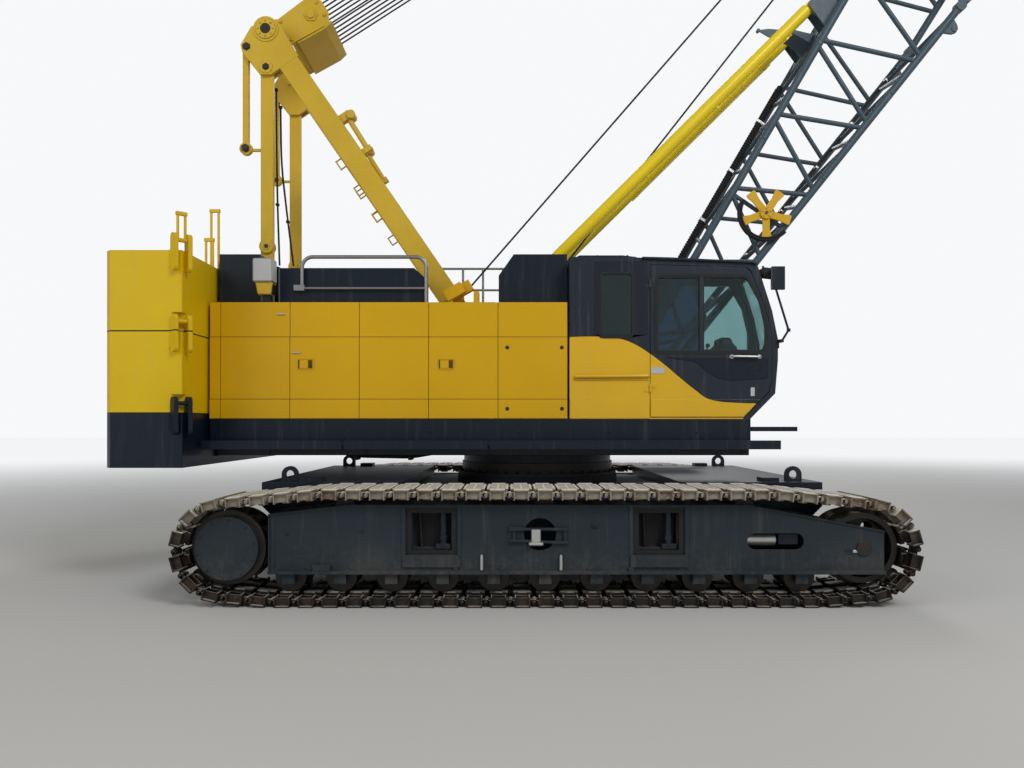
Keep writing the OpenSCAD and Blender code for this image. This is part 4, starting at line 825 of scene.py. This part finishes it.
def make_undercarriage():
    for name, side in (("right", -1), ("left", 1)):
        def out(d):
            return side * (FRAME_FACE + d)

        def slab(bm, x, z, low, high, bevel=0.003):
            block(bm, (x[0], out(low), z[0]), (x[1], out(high), z[1]), bevel)

        def trim(bm):
            across(bm, -WHEEL_X, WHEEL_Z, (out(-0.05), out(0.031)), 0.3065, 48)
            bolt_circle(bm, -WHEEL_X, WHEEL_Z, out(0.031), side, 0.276, 10, 0.009, 0.012, 12)
            for x in FRAME_WINDOWS_X:
                slab(bm, (x - 0.292, x - 0.248), (0.450, 0.944), -0.002, 0.008)
                slab(bm, (x + 0.248, x + 0.292), (0.450, 0.944), -0.002, 0.008)
                slab(bm, (x - 0.280, x + 0.280), (0.352, 0.447), -0.002, 0.022)
            # Edge strips round the plate
            plate(bm, [(-2.664, 0.848), (-1.89, 0.938), (1.94, 0.938), (3.264, 0.688), (3.264, 0.704),
                       (1.94, 0.954), (-1.89, 0.954), (-2.664, 0.864)], (out(-0.004), out(0.014)))
            slab(bm, (-2.664, -2.648), (0.318, 0.856), -0.004, 0.014)
            slab(bm, (-2.606, -2.600), (0.350, 0.838), -0.002, 0.005, 0.001)
            slab(bm, (-2.232, -2.063), (0.318, 0.382), -0.002, 0.040)
            slab(bm, (0.448, 0.506), (0.732, 0.790), -0.002, 0.016)
            for x, z, depth in ((-2.484, 0.676, 0.0), (-1.770, 0.700, 0.0), (0.478, 0.761, 0.016)):
                bolt(bm, (x, out(depth), z), (0, side, 0), 0.012, 0.014)
            for x in (-0.86, -0.42, 0.43, 0.82):
                slab(bm, (x - 0.022, x + 0.022), (0.318, 0.352), -0.002, 0.020)
            # Shackle bar over the round hole
            plate(bm, [(-0.352, 0.700), (-0.19, 0.708), (0.221, 0.708), (0.221, 0.736), (-0.19, 0.736),
                       (-0.352, 0.752)], (out(0.020), out(0.038)), 0.003)
            plate(bm, [(-0.345, 0.600), (0.221, 0.577), (0.221, 0.605), (-0.345, 0.626)],
                  (out(0.020), out(0.038)), 0.003)
            for x in (-0.30, 0.19):
                slab(bm, (x - 0.014, x + 0.014), (0.59, 0.73), -0.002, 0.030)
        piece("frame_trim_" + name, "undercarriage", "frame_paint", trim)

        def fittings(bm):
            for x in (-0.611, 0.150):
                rod(bm, (x, out(0.026), 0.330), (x, out(0.026), 0.468), 0.016, 12)
                rod(bm, (x, out(0.026), 0.455), (x, out(0.026), 0.478), 0.010, 8)
            slab(bm, (-0.135, -0.045), (0.596, 0.722), 0.018, 0.052, 0.008)
            slab(bm, (-0.160, -0.020), (0.566, 0.600), 0.016, 0.060, 0.008)
            # Track adjuster behind the long slot, and the insert of the small one
            rod(bm, (1.90, out(-0.13), 0.606), (2.24, out(-0.13), 0.606), 0.062, 24)
            slab(bm, (2.955, 3.030), (0.492, 0.520), 0.002, 0.010)
        piece("frame_fittings_" + name, "undercarriage", "bright_steel", fittings)

        # Parts seen through the frame's windows and slots, in dark paint that is darker than the frame:
        # painted shade inside the openings
        def inside(bm):
            for x in FRAME_WINDOWS_X:
                slab(bm, (x + 0.035, x + 0.185), (0.515, 0.570), -0.17, -0.05, 0.006)
                rod(bm, (x + 0.110, out(-0.11), 0.56), (x + 0.110, out(-0.11), 0.88), 0.040, 20)
                rod(bm, (x + 0.110, out(-0.11), 0.60), (x + 0.110, out(-0.11), 0.64), 0.047, 20)
                rod(bm, (x - 0.110, out(-0.16), 0.51), (x - 0.130, out(-0.16), 0.88), 0.014, 10)
            slab(bm, (2.26, 2.46), (0.555, 0.672), -0.16, -0.06, 0.01)
            plate(bm, oblong((2.88, 3.10), (0.477, 0.534), 0.028), (out(-0.002), out(0.004)))
        piece("frame_inside_" + name, "undercarriage", "dark_paint", inside)

        # A black box in each of the side frame's windows, with a rim round the opening: painted shade inside
        # the windows
        def shade_box(bm):
            for x in FRAME_WINDOWS_X:
                slab(bm, (x - 0.200, x + 0.200), (0.508, 0.882), -0.210, -0.200, 0)
                for k in (-0.1995, 0.1935):
                    slab(bm, (x + k, x + k + 0.006), (0.508, 0.882), -0.205, -0.018, 0)
                for z in (0.5085, 0.8755):
                    slab(bm, (x - 0.197, x + 0.197), (z, z + 0.006), -0.205, -0.018, 0)
                ring(bm, oblong((x - 0.2445, x + 0.2445), (0.4705, 0.9195)),
                     oblong((x - 0.196, x + 0.196), (0.512, 0.878)), (out(-0.0195), out(-0.016)))
        piece("frame_lining_" + name, "undercarriage", "black_rubber", shade_box)

    def ring_bolts(bm):
        count, ring_r, z = 44, 0.972, 1.150
        for i in range(count):
            a = 2 * math.pi * i / count
            bolt(bm, (ring_r * math.cos(a), ring_r * math.sin(a), z), (0, 0, 1), 0.014, 0.030)
    piece("ring_bolts", "undercarriage", "oily_steel", ring_bolts)


# Deck: brackets and pipes under the walkway
def make_deck():
    def pipes(bm):
        for k in range(3):
            y, z = -1.36 + 0.06 * k, 1.475 - 0.030 * k
            pipe(bm, [(-2.36, y, 1.56), (-2.30, y, z), (-2.05, y, z - 0.05), (-1.45, y, z - 0.06),
                      (-1.10, y, z), (-1.04, y, 1.56)], 0.017, 0.10, 10)
        for x in (-2.05, -1.45):
            block(bm, (x - 0.02, -1.40, 1.33), (x + 0.02, -1.20, 1.52), 0.004)
        pipe(bm, [(-3.05, -1.30, 1.56), (-3.00, -1.30, 1.44), (-2.40, -1.30, 1.43), (-2.36, -1.30, 1.56)],
             0.022, 0.08, 10)
    piece("deck_pipes", "upper", "black_rubber", pipes)

    def brackets(bm):
        for side in (-1, 1):
            for x in (-3.30, -2.45, -0.85, 0.55, 1.25, 2.05):
                block(bm, (x, side * (HOUSE_Y + 0.002), 1.474),
                      (x + 0.05, side * (HOUSE_Y + 0.225), 1.502), 0.003)
            for x in (-2.95, -2.10, -1.20, -0.25, 0.75, 1.70):
                bolt(bm, (x, side * (HOUSE_Y - 0.001), 1.645), (0, side, 0), 0.012, 0.012)
            # Skirt below the walkway, set back, with its ribs
            block(bm, (-3.560, side * 1.400, 1.386), (2.285, side * 1.462, 1.524), 0.004)
            for x in (-3.0, -1.95, -0.58, 0.60, 1.42, 2.20):
                block(bm, (x, side * 1.455, 1.392), (x + 0.030, side * 1.478, 1.500), 0.003)
    piece("walkway_brackets", "upper", "dark_paint", brackets)


# Machine house: latches, pulls and screws of the doors
def make_house():
    skin = [-HOUSE_Y + 0.018, -HOUSE_Y + 0.009]
    latch_at = (skin[1], 2.385)

    def latch(bm, x):
        y, z = latch_at
        ring(bm, oblong((x, x + 0.186), (z - 0.062, z + 0.062), 0.012),
             oblong((x + 0.010, x + 0.176), (z - 0.050, z + 0.050), 0.008), (y + 0.001, y - 0.006))
        block(bm, (x + 0.024, y - 0.005, z - 0.046), (x + 0.118, y + 0.001, z + 0.046), 0.003)

    # A narrow dark block at the left of the latch's recess is a painted shadow; the thin dark blocks at its
    # right are the grooves of the grip
    def grip_and_shadow(bm, x):
        y, z = latch_at
        block(bm, (x + 0.008, y - 0.002, z - 0.048), (x + 0.022, y + 0.001, z + 0.048))
        for k in range(4):
            left = x + 0.124 + 0.011 * k
            block(bm, (left, y - 0.006, z - 0.044), (left + 0.006, y + 0.001, z + 0.044))

    for i, x in ((2, -2.672), (4, -1.132)):
        piece(f"latch_{i}", f"house_door_{i}", "panel_paint", lambda bm: latch(bm, x))
        piece(f"latch_grip_{i}", f"house_door_{i}", "black_rubber", lambda bm: grip_and_shadow(bm, x))
    for i, x, z, y in ((1, -2.892, 2.936, skin[0]), (2, -2.722, 2.512, skin[1])):
        def pull(bm):
            block(bm, (x, y - 0.016, z - 0.008), (x + 0.088, y - 0.007, z + 0.008), 0.003)
            for k in (0.008, 0.068):
                block(bm, (x + k, y - 0.010, z - 0.006), (x + k + 0.012, y + 0.001, z + 0.006))
        piece(f"door_pull_{i}", f"house_door_{i}", "bright_steel", pull)

    def screws(bm):
        for x in (-0.372, 0.226):
            for z in (2.568, 1.898):
                depth = skin[1] if z > FOLDS_Z[0] else -HOUSE_Y
                across(bm, x, z, (depth + 0.001, depth - 0.004), 0.021, 20)
                across(bm, x, z, (depth, depth - 0.009), 0.012, 6)
    piece("door_screws", "house_door_5", "frame_paint", screws)

    def hinges(bm):
        y = -HOUSE_Y + 0.03
        for k in range(DOOR_COUNT):
            x = DOORS_X[0] + (DOORS_X[1] - DOORS_X[0]) / DOOR_COUNT * k
            for z in (1.83, 3.03):
                rod(bm, (x - 0.003, y, z - 0.02), (x - 0.003, y, z + 0.02), 0.0028, 8)
    piece("house_hinges", "upper", "dark_paint", hinges)


# Cab: dark side glass, rubbers, sliding window, handles, roof rail and mouldings
WINDOW = [(1.290, 2.517), (2.410, 2.517), (2.455, 2.590), (2.455, 2.800), (2.390, 3.080), (2.240, 3.350),
          (1.300, 3.355), (1.262, 3.310), (1.262, 2.550)]
SIDE_WINDOW = oblong((0.640, 1.005), (2.670, 3.390), 0.05)


def make_cab():
    face = -HOUSE_Y
    proud = (face + 0.001, face - 0.007)

    def slab(bm, x, z, inner, outer, bevel=0.0):
        """A block on the cab's side, with its Y counted outwards from the side's face."""
        block(bm, (x[0], face - inner, z[0]), (x[1], face - outer, z[1]), bevel)

    def rubber(bm):
        outline = rounded(WINDOW, 0.05)
        ring(bm, offset(outline, 0.022), offset(outline, -0.012), (face + 0.012, face - 0.008))
        slab(bm, (1.728, 1.738), (2.52, 3.35), -0.02, 0.002)
        slab(bm, (1.772, 1.782), (2.52, 3.35), -0.02, 0.002)
    piece("door_window_rubber", "cab_door", "black_rubber", rubber)

    def signs(bm):
        slab(bm, (1.200, 1.352), (2.280, 2.352), -0.0005, 0.0035, 0.001)
        slab(bm, (2.290, 2.335), (2.035, 2.130), -0.0005, 0.0035, 0.001)
        across(bm, 1.335, 1.886, (face - 0.0035, face + 0.0005), 0.052, 32)
    piece("door_signs", "cab_door", "pale_paint", signs)

    def vent(bm):
        slab(bm, (2.250, 2.345), (2.262, 2.398), -0.0005, 0.004, 0.002)
        for k in range(5):
            z = 2.274 + 0.0245 * k
            slab(bm, (2.258, 2.337), (z, z + 0.012), 0.003, 0.010, 0.002)
    piece("door_vent", "cab_door", "black_rubber", vent)
    piece("cab_side_pane", "upper", "deep_glass",
          lambda bm: slab(bm, (0.646, 0.999), (2.676, 3.384), -0.0265, -0.0225, 0.001))
    piece("door_sliding_pane", "cab_door", "deep_glass",
          lambda bm: slab(bm, (1.275, 1.752), (2.535, 3.340), -0.0265, -0.0225, 0.001))

    def slider(bm):
        slab(bm, (1.737, 1.773), (2.52, 3.35), -0.022, 0.004, 0.003)
        slab(bm, (1.28, 2.43), (2.527, 2.545), -0.013, -0.001, 0.002)
        slab(bm, (1.29, 2.25), (3.325, 3.343), -0.013, -0.001, 0.002)
    piece("door_window_slider", "cab_door", "frame_paint", slider)

    def handle(bm):
        pipe(bm, [(2.085, face + 0.01, 2.468), (2.085, face - 0.045, 2.468), (2.385, face - 0.045, 2.464),
                  (2.385, face + 0.01, 2.464)], 0.012, 0.02, 10)
        for x in (2.085, 2.385):
            across(bm, x, 2.466, (face + 0.001, face - 0.006), 0.024, 16)
    piece("door_handle", "cab_door", "bright_steel", handle)

    def latch(bm):
        ring(bm, oblong((2.345, 2.452), (2.268, 2.418), 0.012), oblong((2.357, 2.440), (2.280, 2.406), 0.01),
             proud)
        slab(bm, (2.362, 2.425), (2.300, 2.390), -0.001, 0.005, 0.003)
    piece("door_latch", "cab_door", "black_rubber", latch)

    # The raised dark field below the window, with the long curve of its lower edge
    def field(bm):
        plate(bm, rounded([(1.36, 2.462), (2.48, 2.462), (2.485, 2.225), (2.06, 2.203), (1.92, 2.235),
                           (1.80, 2.310), (1.70, 2.405)], 0.03), (face + 0.001, face - 0.006), 0.003)
    piece("door_panel", "cab_door", "dark_paint", field)

    # Panels that step out below the fold
    for name, body, outline in (
            ("door_low_panel", "cab_door", [(1.198, 1.808), (2.213, 1.808), (2.40, 2.000), (1.198, 2.000)]),
            ("cab_low_panel", "upper", oblong((0.313, 1.183), (1.788, 2.000)))):
        piece(name, body, "cab_paint", lambda bm: plate(bm, outline, proud, 0.003))
    piece("cab_side_surround", "upper", "gloss_black",
          lambda bm: ring(bm, oblong((0.575, 1.165), (2.705, 3.512), 0.02), SIDE_WINDOW,
                          (face + 0.001, face - 0.004)))
    piece("cab_side_rubber", "upper", "black_rubber",
          lambda bm: ring(bm, offset(SIDE_WINDOW, 0.004), offset(SIDE_WINDOW, -0.018),
                          (face + 0.010, face - 0.007)))

    def side_rail(bm):
        pipe(bm, [(0.372, face + 0.01, 2.246), (0.372, face - 0.030, 2.250), (1.168, face - 0.030, 2.256),
                  (1.168, face + 0.01, 2.252)], 0.019, 0.02, 12)
        plate(bm, oblong((0.36, 1.178), (2.205, 2.222)), (face + 0.001, face - 0.012), 0.004)
    piece("cab_side_rail", "upper", "cab_paint", side_rail)

    def roof(bm):
        plate(bm, [(1.10, 3.555), (1.40, 3.548), (2.30, 3.505), (2.355, 3.482), (2.345, 3.468), (2.29, 3.486),
                   (1.10, 3.532)], (face + 0.02, face - 0.036), 0.004)
        plate(bm, [(0.36, 3.552), (1.06, 3.546), (1.06, 3.572), (0.90, 3.590), (0.42, 3.590)],
              (face + 0.06, -0.84), 0.01)
        for x in (0.62, 0.95):
            across(bm, x, 3.578, (face + 0.052, face + 0.07), 0.012, 12)
    piece("cab_roof_rail", "upper", "dark_paint", roof)

    def inside(bm):
        block(bm, (1.20, face + 0.055, 1.86), (1.235, -0.84, 3.42), 0.004)
        block(bm, (1.96, -1.34, 2.44), (2.20, -0.98, 2.64), 0.05)
        block(bm, (2.00, -1.30, 2.60), (2.15, -1.02, 2.70), 0.03)
        for x, y in ((1.86, -1.36), (1.86, -0.96)):
            block(bm, (x - 0.18, y - 0.05, 2.38), (x + 0.12, y + 0.05, 2.45), 0.012)
            rod(bm, (x + 0.05, y, 2.44), (x + 0.09, y, 2.62), 0.009, 10)
            bmesh.ops.create_uvsphere(bm, u_segments=12, v_segments=8, radius=0.026,
                                      matrix=Matrix.Translation((x + 0.092, y, 2.64)))
        for y in (-1.20, -1.10):
            rod(bm, (2.19, y, 2.05), (2.10, y, 2.52), 0.010, 10)
    piece("cab_controls", "upper", "cab_plastic", inside)


def make_seat():
    """The operator's seat: two crowned cushions with a rolled edge, over the CAD's plain blocks."""
    middle = -1.1425

    def cushion(bm, low, high, crown, axis):
        low, high = Vector(low), Vector(high)
        edges = list({e for v in box(bm, low, high) for e in v.link_edges})
        bmesh.ops.subdivide_edges(bm, edges=edges, cuts=9, use_grid_fill=True)
        centre, half = (low + high) / 2, (high - low) / 2
        for v in bm.verts:
            if not v.tag:
                d = [(v.co[k] - centre[k]) / half[k] for k in range(3)]
                a, b = [k for k in range(3) if k != axis]
                bulge = (1 - d[a] ** 4) * (1 - d[b] ** 4)
                seam = 0.012 * math.exp(-((abs(d[1]) - 0.62) / 0.06) ** 2)
                if d[axis] > 0.05:
                    v.co[axis] += (crown * bulge - seam) * d[axis]
                for k in (a, b):
                    v.co[k] -= 0.012 * d[k] ** 3 * (abs(d[axis]) if abs(d[axis]) > 0.5 else 0)
                v.tag = True

    def draw(bm):
        cushion(bm, (1.27, middle - 0.215, 2.285), (1.69, middle + 0.215, 2.385), 0.022, 2)
        cushion(bm, (1.195, middle - 0.215, 2.40), (1.285, middle + 0.215, 2.985), 0.028, 0)
    seat = piece("seat_cushions", "upper", "seat_cloth", draw, smooth=60)

    def frame(bm):
        block(bm, (1.30, middle - 0.15, 1.84), (1.65, middle + 0.15, 2.27), 0.02)
        block(bm, (1.26, middle - 0.19, 2.262), (1.68, middle + 0.19, 2.285), 0.006)
        block(bm, (1.98, middle - 0.23, 1.84), (2.18, middle + 0.23, 2.45), 0.03)
        block(bm, (1.205, middle - 0.09, 2.99), (1.265, middle + 0.09, 3.12), 0.02)
    piece("seat_base", "upper", "cab_plastic", frame)
    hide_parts("cab_seat")


# Gantry: pins, rings of bolts and lubrication pipes
def make_gantry():
    def pins(bm):
        for side in (-1, 1):
            out = side * 0.705
            across(bm, *HEAD_PIN, (side * 0.64, out + side * 0.024), 0.062, 24)
            for x, z, r, end in ((-3.256, 5.990, 0.030, 0.020), (-3.488, 6.233, 0.034, 0.020),
                                 (-3.512, 5.033, 0.034, -0.010), (-3.256, 3.857, 0.026, -0.010)):
                across(bm, x, z, (side * 0.6, out + side * end), r, 16)
                across(bm, x, z, (side * 0.65, out + side * (end - 0.012)), r + 0.016, 6)
    piece("gantry_pins", "upper", "oily_steel", pins)

    def rings(bm):
        for side in (-1, 1):
            y = side * 0.727
            bolt_circle(bm, *HEAD_PIN, y, side, 0.090, 8, 0.008, 0.010)
            for z, r, face in ((5.990, 0.078, 0.712), (3.857, 0.080, 0.686)):
                across(bm, HEAD_PIN[0], z, (side * 0.62, side * face), r, 24)
    piece("gantry_rings", "upper", "gantry_paint", rings)

    def pipes(bm):
        for y, points in ((-0.50, [(-3.19, 5.80), (-3.185, 5.0), (-3.175, 4.4), (-3.15, 3.66)]),
                          (-0.46, [(-3.15, 5.60), (-3.14, 4.9), (-3.06, 4.2), (-2.99, 3.66)])):
            pipe(bm, [(x, y, z) for x, z in points], 0.012, 0.25, 8)
            for x, z in points[:3:2]:
                block(bm, (x - 0.02, y - 0.02, z - 0.015), (x + 0.02, y + 0.02, z + 0.015), 0.003)
    piece("gantry_pipes", "upper", "black_rubber", pipes)


def make_rear_fittings():
    """The sensor box by the rear hood, the mirror's glass and the work lamp at the cab."""
    piece("sensor_box", "upper", "pale_paint",
          lambda bm: block(bm, (-3.173, -1.465, 3.296), (-2.955, -1.280, 3.555), 0.012))
    piece("sensor_funnel", "upper", "gantry_paint",
          lambda bm: plate(bm, [(-3.150, 3.296), (-2.958, 3.296), (-2.975, 3.160), (-3.125, 3.160)],
                           (-1.440, -1.290), 0.008))
    piece("mirror_glass", "upper", "mirror_face",
          lambda bm: block(bm, (2.4955, -1.579, 3.202), (2.4995, -1.541, 3.428), 0.001))

    def lamp(bm):
        rod(bm, (2.44, -1.440, 3.395), (2.535, -1.440, 3.385), 0.062, 24)
        rod(bm, (2.40, -1.440, 3.400), (2.445, -1.440, 3.395), 0.030, 16, 0.060)
        rod(bm, (2.47, -1.440, 3.395), (2.44, -1.440, 3.470), 0.012, 10)
    piece("work_lamp", "upper", "black_rubber", lamp)
    piece("work_lamp_glass", "upper", "lamp_glass",
          lambda bm: rod(bm, (2.533, -1.440, 3.385), (2.540, -1.440, 3.3845), 0.056, 24))


# Boom: conduit, pipes, rope guide, lugs and the cable reel, drawn as (u, y, w)
REEL = (2.943, -0.09)
FOOT_HALF_DEPTH = 0.150
FULL_HALF_DEPTH = 0.625


def half_depth(u):
    """Half the depth of the lattice, which widens from its foot to the end of the lower section."""
    return FOOT_HALF_DEPTH + (FULL_HALF_DEPTH - FOOT_HALF_DEPTH) * min(u / BUTT_LEN, 1)


def make_boom():
    def conduit(bm):
        def place(u):
            return Vector((u, 0.42, half_depth(u) + 0.055))
        pipe(bm, [place(1.20), place(4.9)], 0.036, sides=12)
        for k in range(98):
            u = 1.24 + 0.037 * k
            rod(bm, place(u), place(u + 0.019), 0.045, 12)
        for y, face, r in ((-0.575, 1, 0.014), (-0.545, 1, 0.010), (0.575, -1, 0.016), (0.535, -1, 0.012)):
            pipe(bm, [(u, y, face * (half_depth(u) - 0.02)) for u in (0.95, 6.05)], r, sides=8)
    piece("boom_conduit", "boom", "black_rubber", conduit, BOOM)

    def clamps(bm):
        for k in range(7):
            u = 1.35 + 0.75 * k
            w = half_depth(u)
            if u < 4.9:
                block(bm, (u - 0.02, 0.37, w - 0.01), (u + 0.02, 0.47, w + 0.105), 0.004)
                block(bm, (u - 0.015, 0.45, w - 0.010), (u + 0.015, 0.66, w + 0.002), 0.002)
            for y, face in ((-0.56, 1), (0.555, -1)):
                out = face * (w - 0.02)
                block(bm, (u - 0.015, y - 0.040, out - 0.022), (u + 0.015, y + 0.040, out + 0.022), 0.003)
                end = math.copysign(0.66, y)
                block(bm, (u - 0.012, y, out - 0.004), (u + 0.012, end, out + 0.004))
    piece("boom_clamps", "boom", "bright_steel", clamps, BOOM)

    def lugs(bm):
        # Rope guide behind the boom, and lifting lugs under the lower chords
        plate(bm, [(5.108, 1.242), (5.205, 1.134), (5.337, 0.908), (5.36, 0.58), (5.16, 0.56), (5.174, 0.80),
                   (5.121, 1.077)], (-0.008, 0.008), 0.003)
        across(bm, 5.26, half_depth(5.26), (-CHORD_Y, CHORD_Y), 0.030, 16)
        across(bm, 5.112, 1.225, (-0.024, 0.024), 0.022, 16)
        for side in (-1, 1):
            y = side * CHORD_Y
            plate(bm, [(5.93, -0.595), (6.17, -0.615), (6.12, -0.715), (6.085, -0.750), (6.035, -0.755),
                       (5.995, -0.725)], (y - 0.016, y + 0.016), 0.004)
            across(bm, 6.060, -0.712, (y - 0.024, y + 0.024), 0.036, 20)
            for u in (1.9, 3.7, 5.0):
                for face in (-1, 1):
                    across(bm, u, face * half_depth(u), (y - 0.052, y + 0.052), 0.020, 10)
    piece("boom_lugs", "boom", "boom_paint", lugs, BOOM)

    def star(bm):
        arm = [(0.05, -0.045), (0.19, -0.042), (0.285, -0.062), (0.305, -0.050), (0.305, 0.050),
               (0.285, 0.062), (0.19, 0.042), (0.05, 0.045)]
        for a in (math.radians(72 * i) for i in range(5)):
            c, s = math.cos(a), math.sin(a)
            plate(bm, [(REEL[0] + r * c - k * s, REEL[1] + r * s + k * c) for r, k in arm],
                  (-0.774, -0.756), 0.003)
        across(bm, *REEL, (-0.796, -0.738), 0.072, 32)
        bolt_circle(bm, *REEL, -0.796, -1, 0.050, 5, 0.007, 0.008, 36)
    piece("reel_star", "cable_reel", "panel_paint", star, BOOM)

    def coil(bm):
        for r, y in ((0.322, -0.782), (0.322, -0.748), (0.296, -0.784)):
            pipe(bm, [(REEL[0] + r * math.cos(a), y, REEL[1] + r * math.sin(a))
                      for a in (math.radians(95 + 7.5 * k) for k in range(23))], 0.013, sides=10)
    piece("reel_cable", "cable_reel", "black_rubber", coil, BOOM)

    top = boom_point(*STOP_TOP)
    reach = (top[0] - STOP_FOOT[0], top[1] - STOP_FOOT[1])
    stop = tilted(*STOP_FOOT, math.atan2(reach[1], reach[0]))
    length = math.hypot(*reach)

    def collars(bm):
        for side in (-1, 1):
            y = side * STOP_Y
            pipe(bm, [(length - 3.0, y, -0.083), (length - 0.42, y, -0.083)], 0.007, sides=8)
            for u in (length - 2.9, length - 1.7, length - 0.5):
                block(bm, (u - 0.02, y - 0.012, -0.092), (u + 0.02, y + 0.012, -0.070), 0.002)
    piece("backstop_lines", "backstop_tubes", "stop_paint", collars, stop)


def make_stay():
    """Steel sheaves, pins and bolts of the boom hoist's block and bridle, drawn along the stay."""
    end = boom_point(*STAY_END)
    stay = tilted(*HEAD_PIN, math.atan2(end[1] - HEAD_PIN[1], end[0] - HEAD_PIN[0]))
    half_rim = [(0.050, 0.027), (0.158, 0.027), (0.1725, 0.021), (0.1725, 0.015), (0.148, 0.006)]
    rim = [(r, -k) for r, k in half_rim] + half_rim[::-1] + [(0.050, -0.027)]
    for name, body, u, wide in (("block", "gantry_block", BLOCK_U, 0.44),
                                ("bridle", "bridle", BRIDLE_U, 0.34)):
        def sheaves(bm):
            for y in SHEAVES_Y:
                turned(bm, [(r, y + k) for r, k in rim], (u, 0), 28)
        piece(name + "_sheaves", body, "oily_steel", sheaves, stay)

        def pins(bm):
            for side in (-1, 1):
                y = side * wide
                across(bm, u, 0, (y - side * 0.02, y + side * 0.012), 0.085, 6)
                across(bm, u, 0, (y, y + side * 0.028), 0.048, 24)
                if name == "block":
                    for x, w in ((0.20, -0.13), (0.20, 0.13), (0.70, -0.09), (0.70, 0.09)):
                        bolt(bm, (x, y - side * 0.001, w), (0, side, 0), 0.018, 0.016)
        piece(name + "_pins", body, "gantry_paint", pins, stay)


# Ropes: each of the CAD's round bars becomes wire rope
ROPE_R = 0.012
REEVING_R = 0.010
GROOVE_IN = 0.0177
DRUM_ROPE_R = 0.2723
GUIDE_R = 0.180
TIP_SHEAVE_R = 0.310
HOOK_SHEAVE_R = 0.240
FALLS_DROP = 2.19


def from_pivot(pivot, target):
    """A function that gives points along the line between two pivots, in crane coordinates."""
    way = (Vector(target) - Vector(pivot)).normalized()
    return lambda u, y, w: (pivot[0] + u * way.x - w * way.y, y, pivot[1] + u * way.y + w * way.x)


def boom_point(u, w):
    p = on_boom(u, 0, w)
    return (p.x - SWING_X, p.z)


def ropes(name, bodies, lines, radius, *nodes):
    """Straight wire ropes between the given points, mapped so that their strands wind round them. The bodies
    are not used.
    """
    sides = 12
    angles = [2 * math.pi * i / sides for i in range(sides)]
    bm = bmesh.new()
    layer = bm.loops.layers.uv.new("UVMap")
    for start, end in lines:
        start, end = Vector(start), Vector(end)
        length = (end - start).length
        turn = (end - start).to_track_quat("Z", "Y").to_matrix()
        spokes = [turn @ Vector((radius * math.cos(a), radius * math.sin(a), 0)) for a in angles]
        rows = [[bm.verts.new(start.lerp(end, k) + spoke) for spoke in spokes] for k in (0, 0.5, 1)]
        for k in (0, 1):
            for i in range(sides):
                j = (i + 1) % sides
                face = bm.faces.new((rows[k][i], rows[k][j], rows[k + 1][j], rows[k + 1][i]))
                for loop, (u, v) in zip(face.loops, ((i, k), (i + 1, k), (i + 1, k + 1), (i, k + 1))):
                    loop[layer].uv = (u / sides, v * length / 2)
        bm.faces.new(reversed(rows[0]))
        bm.faces.new(rows[2])
    bmesh.ops.transform(bm, matrix=SWING, verts=bm.verts)
    bmesh.ops.recalc_face_normals(bm, faces=bm.faces)
    obj = finish_piece(name, None, "rope_steel", to_mesh(bm, name))
    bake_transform(obj)
    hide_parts(*nodes)


def make_ropes():
    guide = boom_point(BOOM_LEN - 0.27, 0.52)
    for name, drum, y in (("rear", (-1.48, 2.33), -0.08), ("front", (-0.43, 2.33), 0.08)):
        along = from_pivot(drum, guide)
        reach = (Vector(guide) - Vector(drum)).length
        ropes(f"hoist_line_{name}", (f"rope_{name}", f"rope_{name}_end"),
              [(along(0, y, DRUM_ROPE_R), along(reach, y, GUIDE_R - GROOVE_IN))], ROPE_R,
              f"hoist_rope_{name}", f"hoist_rope_{name}_end")
    along = from_pivot(HEAD_PIN, boom_point(*STAY_END))
    ropes("boom_hoist_lines", ("gantry_block", "bridle"),
          [(along(BLOCK_U, y, w), along(BRIDLE_U, y, w)) for y in SHEAVES_Y for w in (-0.150, 0.150)],
          REEVING_R, "reeving")
    head = boom_point(BOOM_LEN + 0.15, -0.42)
    ropes("falls_lines", ("falls", "hook"),
          [((head[0] + s * (TIP_SHEAVE_R - GROOVE_IN), y, head[1] - 0.01),
            (head[0] + s * (HOOK_SHEAVE_R - GROOVE_IN), y, head[1] - FALLS_DROP))
           for y in (-0.24, -0.08, 0.08, 0.24) for s in (-1, 1)], ROPE_R, "hook_falls")


SCENE.view_settings.view_transform = "Standard"
make_camera()
make_world()
make_light("key", 1612, 7, (6, -16, 15), (-2, 0, 3))
make_light("fill", 558, 9, (-16, -12, 9), (-2, 0, 3))
make_light("back", 682, 8, (2, 16, 13), (-2, 0, 4))
make_stage()
make_materials()
dress_nodes()
make_tracks()
make_undercarriage()
make_deck()
make_house()
make_cab()
make_seat()
make_gantry()
make_rear_fittings()
make_boom()
make_stay()
make_ropes()
